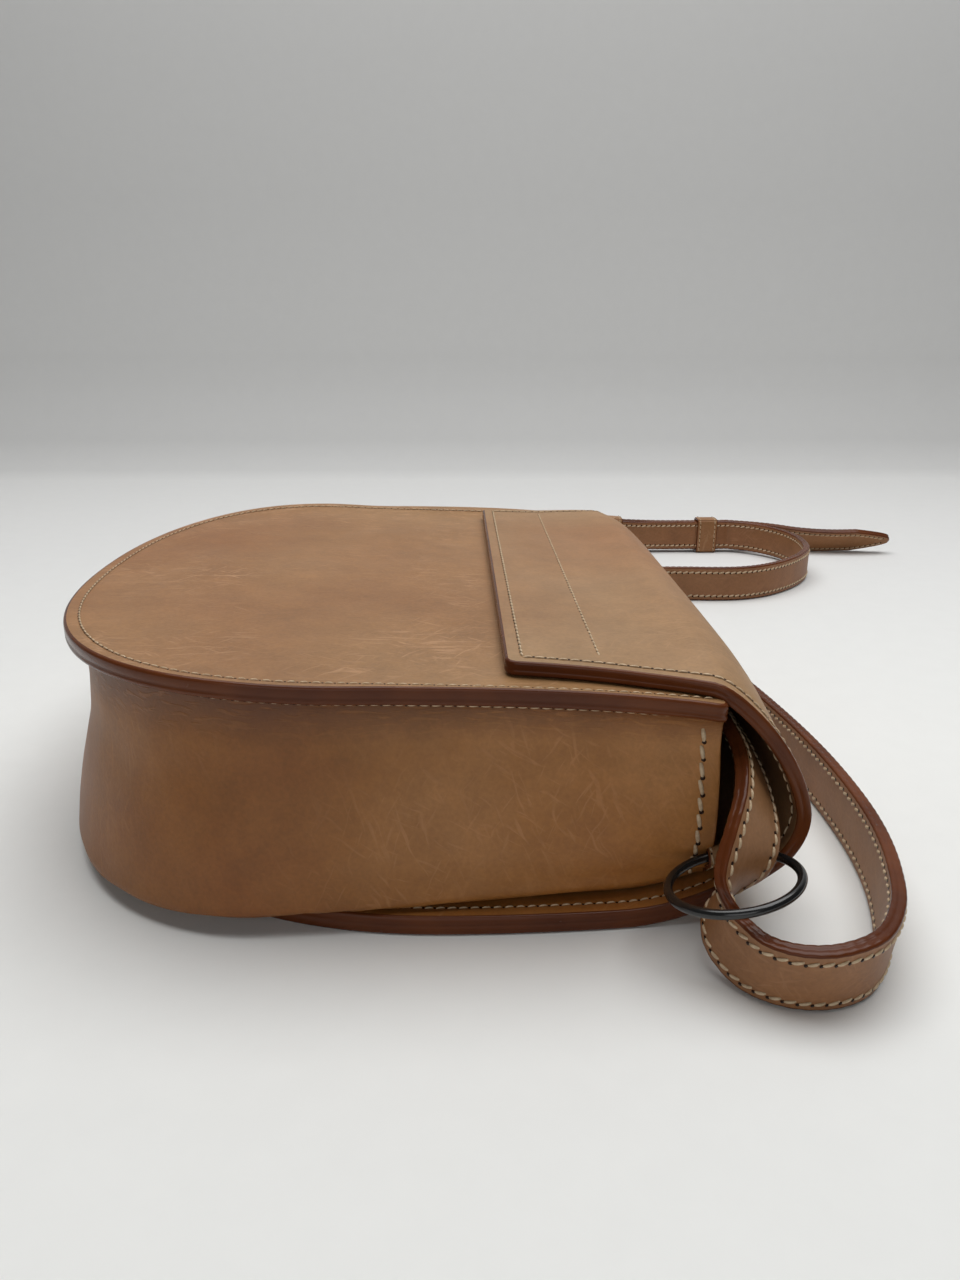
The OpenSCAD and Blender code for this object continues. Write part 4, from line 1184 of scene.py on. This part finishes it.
def keeper(name, x, z, lean, body, node):
    """A closed loop round both runs of the strap."""
    deep = STRAP_T + 1.5 * KEEPER_GAP + KEEPER_T / 2
    high = STRAP_W / 2 + KEEPER_GAP + KEEPER_T / 2
    r = 1.6 * mm
    points = []
    for cy, cz, start in ((1, 1, 0), (-1, 1, 90), (-1, -1, 180), (1, -1, 270)):
        for a in (0, 30, 60, 90):
            t = math.radians(start + a)
            points.append(((cy * (deep - r) + r * math.cos(t)), cz * (high - r) + r * math.sin(t)))
    points = [(deep, 0.0)] + points + [(deep, 0.0)]
    mid_y = (STRAND_Y + LAP_Y) / 2
    spots = [(x + math.sin(lean) * q, mid_y + p, z + math.cos(lean) * q) for p, q in points]
    band(name, spots, KEEPER_W / 2, (-math.cos(lean), 0, math.sin(lean)), KEEPER_T, 1.8 * mm, body,
         nodes=(node,))


def keepers():
    lean = math.atan((BUCKLE_Z - KEEPER_Z) / (LEVEL_X - HEEL_X))
    keeper("fixed_keeper_loop", FIXED_X, strand_z(FIXED_X), lean, "bag", "fixed_keeper")
    keeper("sliding_keeper_loop", SLIDING_X, KEEPER_Z, 0, "keeper", "sliding_keeper")


TAB_PLAY = 0.15 * mm


def ring_tabs():
    """One strip on each side, folded round the ring wire, both its ends sewn to the back."""
    tab_t, half_w = LINING_T * 1.5, RING_WIRE * 1.1
    pin = Vector((X_MOUTH + RING_D * 0.1,
                  BODY_W / 2 + RING_OUT - RING_D / 2 * math.cos(RING_LIFT),
                  RING_Z - RING_D / 2 * math.sin(RING_LIFT)))
    foot_x, foot_y = pin.x + RING_WIRE * 0.9, pin.y - RING_D * 0.35
    top = back_z(foot_x) + PANEL_T
    turn = RING_WIRE / 2 + PIN_GAP + tab_t / 2 + TAB_PLAY
    toe = foot_y - RING_D * 0.4
    slope = math.atan(2 * BACK_RISE * (foot_x - RISE_X) / (SPLIT_X - RISE_X) ** 2)
    line = [(foot_x, toe, top + tab_t / 2), (foot_x, foot_y - 3 * mm, top + tab_t / 2),
            (mix(foot_x, pin.x, 0.3), foot_y + 1 * mm, top + tab_t * 0.9)]
    line += [(pin.x, pin.y + turn * math.cos(a), pin.z + turn * math.sin(a))
             for a in np.radians([-75, -30, 20, 70, 115, 160])]
    line += [(mix(foot_x, pin.x, 0.3), foot_y + 0.4 * mm, top + tab_t * 2.2),
             (foot_x, foot_y - 3 * mm, top + tab_t * 1.55), (foot_x, toe, top + tab_t * 1.5)]
    across = (math.cos(slope), 0, math.sin(slope))
    for way, where in SIDES:
        spots = [(x, way * y, z) for x, y, z in line]
        band(f"ring_tab_{where}_strip", spots, half_w, across, tab_t, 1 * mm, slot="tan_leather",
             nodes=(f"ring_tab_{where}",), hide=TAB_HIDE, ends="edge")


def chape():
    """The strip that holds the buckle: two arms round its bar, with the prong between them."""
    turn = BUCKLE_WIRE / 2 + PIN_GAP + KEEPER_T / 2
    deep = STRAP_T / 2 + LAYER_GAP + KEEPER_T / 2
    end = HEEL_X + KEEPER_W * 0.9
    slot = PRONG_WIRE * 1.5 + 2 * KEEPER_GAP
    arc = [(HEEL_X + turn * math.cos(a), STRAND_Y + turn * math.sin(a))
           for a in np.radians([250, 205, 160, 115, 75])]
    low = (HEEL_X + BUCKLE_WIRE * 1.1, STRAND_Y - deep)
    high = (HEEL_X + BUCKLE_WIRE * 1.2, STRAND_Y + 0.6 * mm)
    for way, where in ((-1, "lower"), (1, "upper")):
        z = BUCKLE_Z + way * (STRAP_W + slot) / 4
        line = [(x, y, z) for x, y in [low] + arc + [high]]
        band(f"buckle_{where}_arm", line, (STRAP_W - slot) / 4, (0, 0, 1), KEEPER_T,
             nodes=("strap_chape",), hide=STRAP_HIDE)
    line = [(x, low[1], strand_z(x)) for x in spread(end, low[0], 3 * mm)]
    band("buckle_strip", line, STRAP_W / 2, (0, 0, 1), KEEPER_T, 2.2 * mm, hide=STRAP_HIDE,
         ends="edge")


def punched_hole(name, u, d, long):
    """A punched hole as a dark, slightly lipped disc of painted shade, on both faces of the lap."""
    bm = bmesh.new()
    for depth, out in ((0, 1), (STRAP_T, -1)):
        n = (strap_place(u, 0, 0) - strap_place(u, 0, STRAP_T)).normalized() * out
        row = STRAP_PATH.at(u)
        up, t = Vector(row[3:]).normalized(), Vector(STRAP_PATH.along(u))
        made = bmesh.ops.create_cone(bm, cap_ends=True, segments=16, radius1=d / 2,
                                     radius2=d / 2 + 0.25 * mm, depth=0.12 * mm)["verts"]
        for v in made:
            v.co = strap_place(u, 0, depth) + t * (v.co.x * long) + up * v.co.y - n * v.co.z
    bmesh.ops.recalc_face_normals(bm, faces=bm.faces)
    dress(finish_mesh(name, bm, [HOLE_SHADE]), "bag", "tan_leather")


def lap_at(*point):
    """How far along the strap its lap passes closest to a point."""
    lap = spread(STRAP_PATH.length * 0.75, STRAP_PATH.length, 0.5 * mm)
    return min(lap, key=lambda u: (Vector(STRAP_PATH.at(u)[:3]) - Vector(point)).length)


def strap_holes():
    first, last = FIXED_X + KEEPER_W * 1.6, SLIDING_X - KEEPER_W
    for k in range(int((last - first) / HOLE_PITCH) + 1):
        u = lap_at(first + k * HOLE_PITCH, LAP_Y, KEEPER_Z)
        punched_hole(f"strap_hole_{k + 1}", u, HOLE_D, 1)
    prong = lap_at(BUCKLE_X + BUCKLE_L * 0.53, (LAP_IN + LAP_OUT) / 2, BUCKLE_Z)
    punched_hole("prong_slot", prong, HOLE_D, 2.2)


def carry_over():
    """CAD pieces whose shape is right keep it and get a better finish."""
    finishes = {BLACK: ("ring_near", "ring_far", "buckle_frame", "buckle_prong"),
                STEEL: ("panel_magnets", "flap_magnets"), BOARD: ("flap_stiffener",)}
    for node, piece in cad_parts.items():
        if node in REPLACED:
            continue
        finish = next(f for f, nodes in finishes.items() if node in nodes)
        piece.data.materials.clear()
        piece.data.materials.append(finish)


# Stage, lights and camera

# Floor tones along Y and wall tones by height are painted light and shade: the floor darkens away
# from the front, and the wall is greyer, its tone rising and falling with height.
FLOOR_TONES = [(0, (0.845, 0.85, 0.83)), (0.3, (0.75, 0.75, 0.74)), (0.6, (0.69, 0.69, 0.68))]
WALL_TONES = [(0, 0.94), (0.011, 0.82), (0.072, 0.73), (0.15, 0.79), (0.2875, 0.9), (0.64, 0.8),
              (0.94, 0.775)]
WALL_SCALE = 2.5


def studio_paper():
    """Pale floor that turns up into a greyer wall, with painted light and shade in their tones."""
    s = Surface("studio paper")
    floor = s.ramp(s.axis(s.place, 1), FLOOR_TONES)
    wall = s.ramp(s.scaled(s.axis(s.place, 2), WALL_SCALE),
                  [(at, grey(tone)) for at, tone in WALL_TONES])
    fleck = s.ramp(s.speckle(90, 4), [(0.3, grey(0.985)), (0.7, grey(1))])
    colour = s.blend(s.blend(floor, wall, 1.0, "MULTIPLY"), fleck, 1.0, "MULTIPLY")
    return s.shade({"Base Color": colour, "Roughness": 0.75, "Specular IOR Level": 0.2})


def stage():
    bm = bmesh.new()
    foot, r, high, wide = 0.71, 0.11, 1.8, 3.0
    line = [(-2.5, 0), (-1, 0), (0, 0), (foot - r, 0)]
    line += [(foot - r + r * math.sin(a), r - r * math.cos(a))
             for a in np.radians(range(15, 91, 15))]
    line += [(foot, high)]
    last = None
    for y, z in line:
        row = [bm.verts.new((x, y, z)) for x in (-wide, wide)]
        if last:
            bm.faces.new((last[0], last[1], row[1], row[0]))
        last = row
    for f in bm.faces:
        f.smooth = True
    bmesh.ops.recalc_face_normals(bm, faces=bm.faces)
    floor = finish_mesh("studio_sweep", bm, [studio_paper()])


def lamp(name, size, energy, place, aim):
    data = bpy.data.lights.new(name, "AREA")
    data.shape = "RECTANGLE"
    data.size, data.size_y = size
    data.energy = energy
    piece = bpy.data.objects.new(name, data)
    piece.location = place
    piece.rotation_euler = (Vector(aim) - Vector(place)).to_track_quat("-Z", "Y").to_euler()
    bpy.context.scene.collection.objects.link(piece)


def lights():
    lamp("overhead", (1.6, 1.2), 21.6, (0.12, 0.24, 1.25), (0.05, 0.1, 0))
    lamp("front_fill", (1, 0.7), 2.8, (-0.15, -1.2, 0.5), (0.02, 0, 0.03))
    world = bpy.data.worlds.new("studio")
    world.use_nodes = True
    sky = world.node_tree.nodes["Background"].inputs
    sky["Color"].default_value = (0.95, 0.97, 1, 1)
    sky["Strength"].default_value = 0.05
    bpy.context.scene.world = world


CAMERA_AT = (26.83 * mm, -319.27 * mm, 147.09 * mm)
CAMERA_PITCH = math.radians(18.57)
CAMERA_YAW = 0.0267
CAMERA_ROLL = 0.0021
CAMERA_LENS = 27.03


def camera():
    data = bpy.data.cameras.new("camera")
    data.sensor_width = 36
    data.lens = CAMERA_LENS
    data.clip_start = 0.01
    view = bpy.data.objects.new("camera", data)
    level = math.cos(CAMERA_PITCH)
    forward = Vector((math.sin(CAMERA_YAW) * level, math.cos(CAMERA_YAW) * level,
                      -math.sin(CAMERA_PITCH)))
    view.location = CAMERA_AT
    view.rotation_euler = forward.to_track_quat("-Z", "Y").to_euler()
    view.rotation_euler.rotate_axis("Z", CAMERA_ROLL)
    bpy.context.scene.collection.objects.link(view)
    bpy.context.scene.camera = view


bpy.context.scene.view_settings.view_transform = "Standard"
camera()
lights()
stage()
front_panel()
back_panel()
gusset()
flap()
flap_seams()
strap()
keepers()
linings()
mouth_facings()
pocket()
ring_tabs()
chape()
strap_holes()
carry_over()
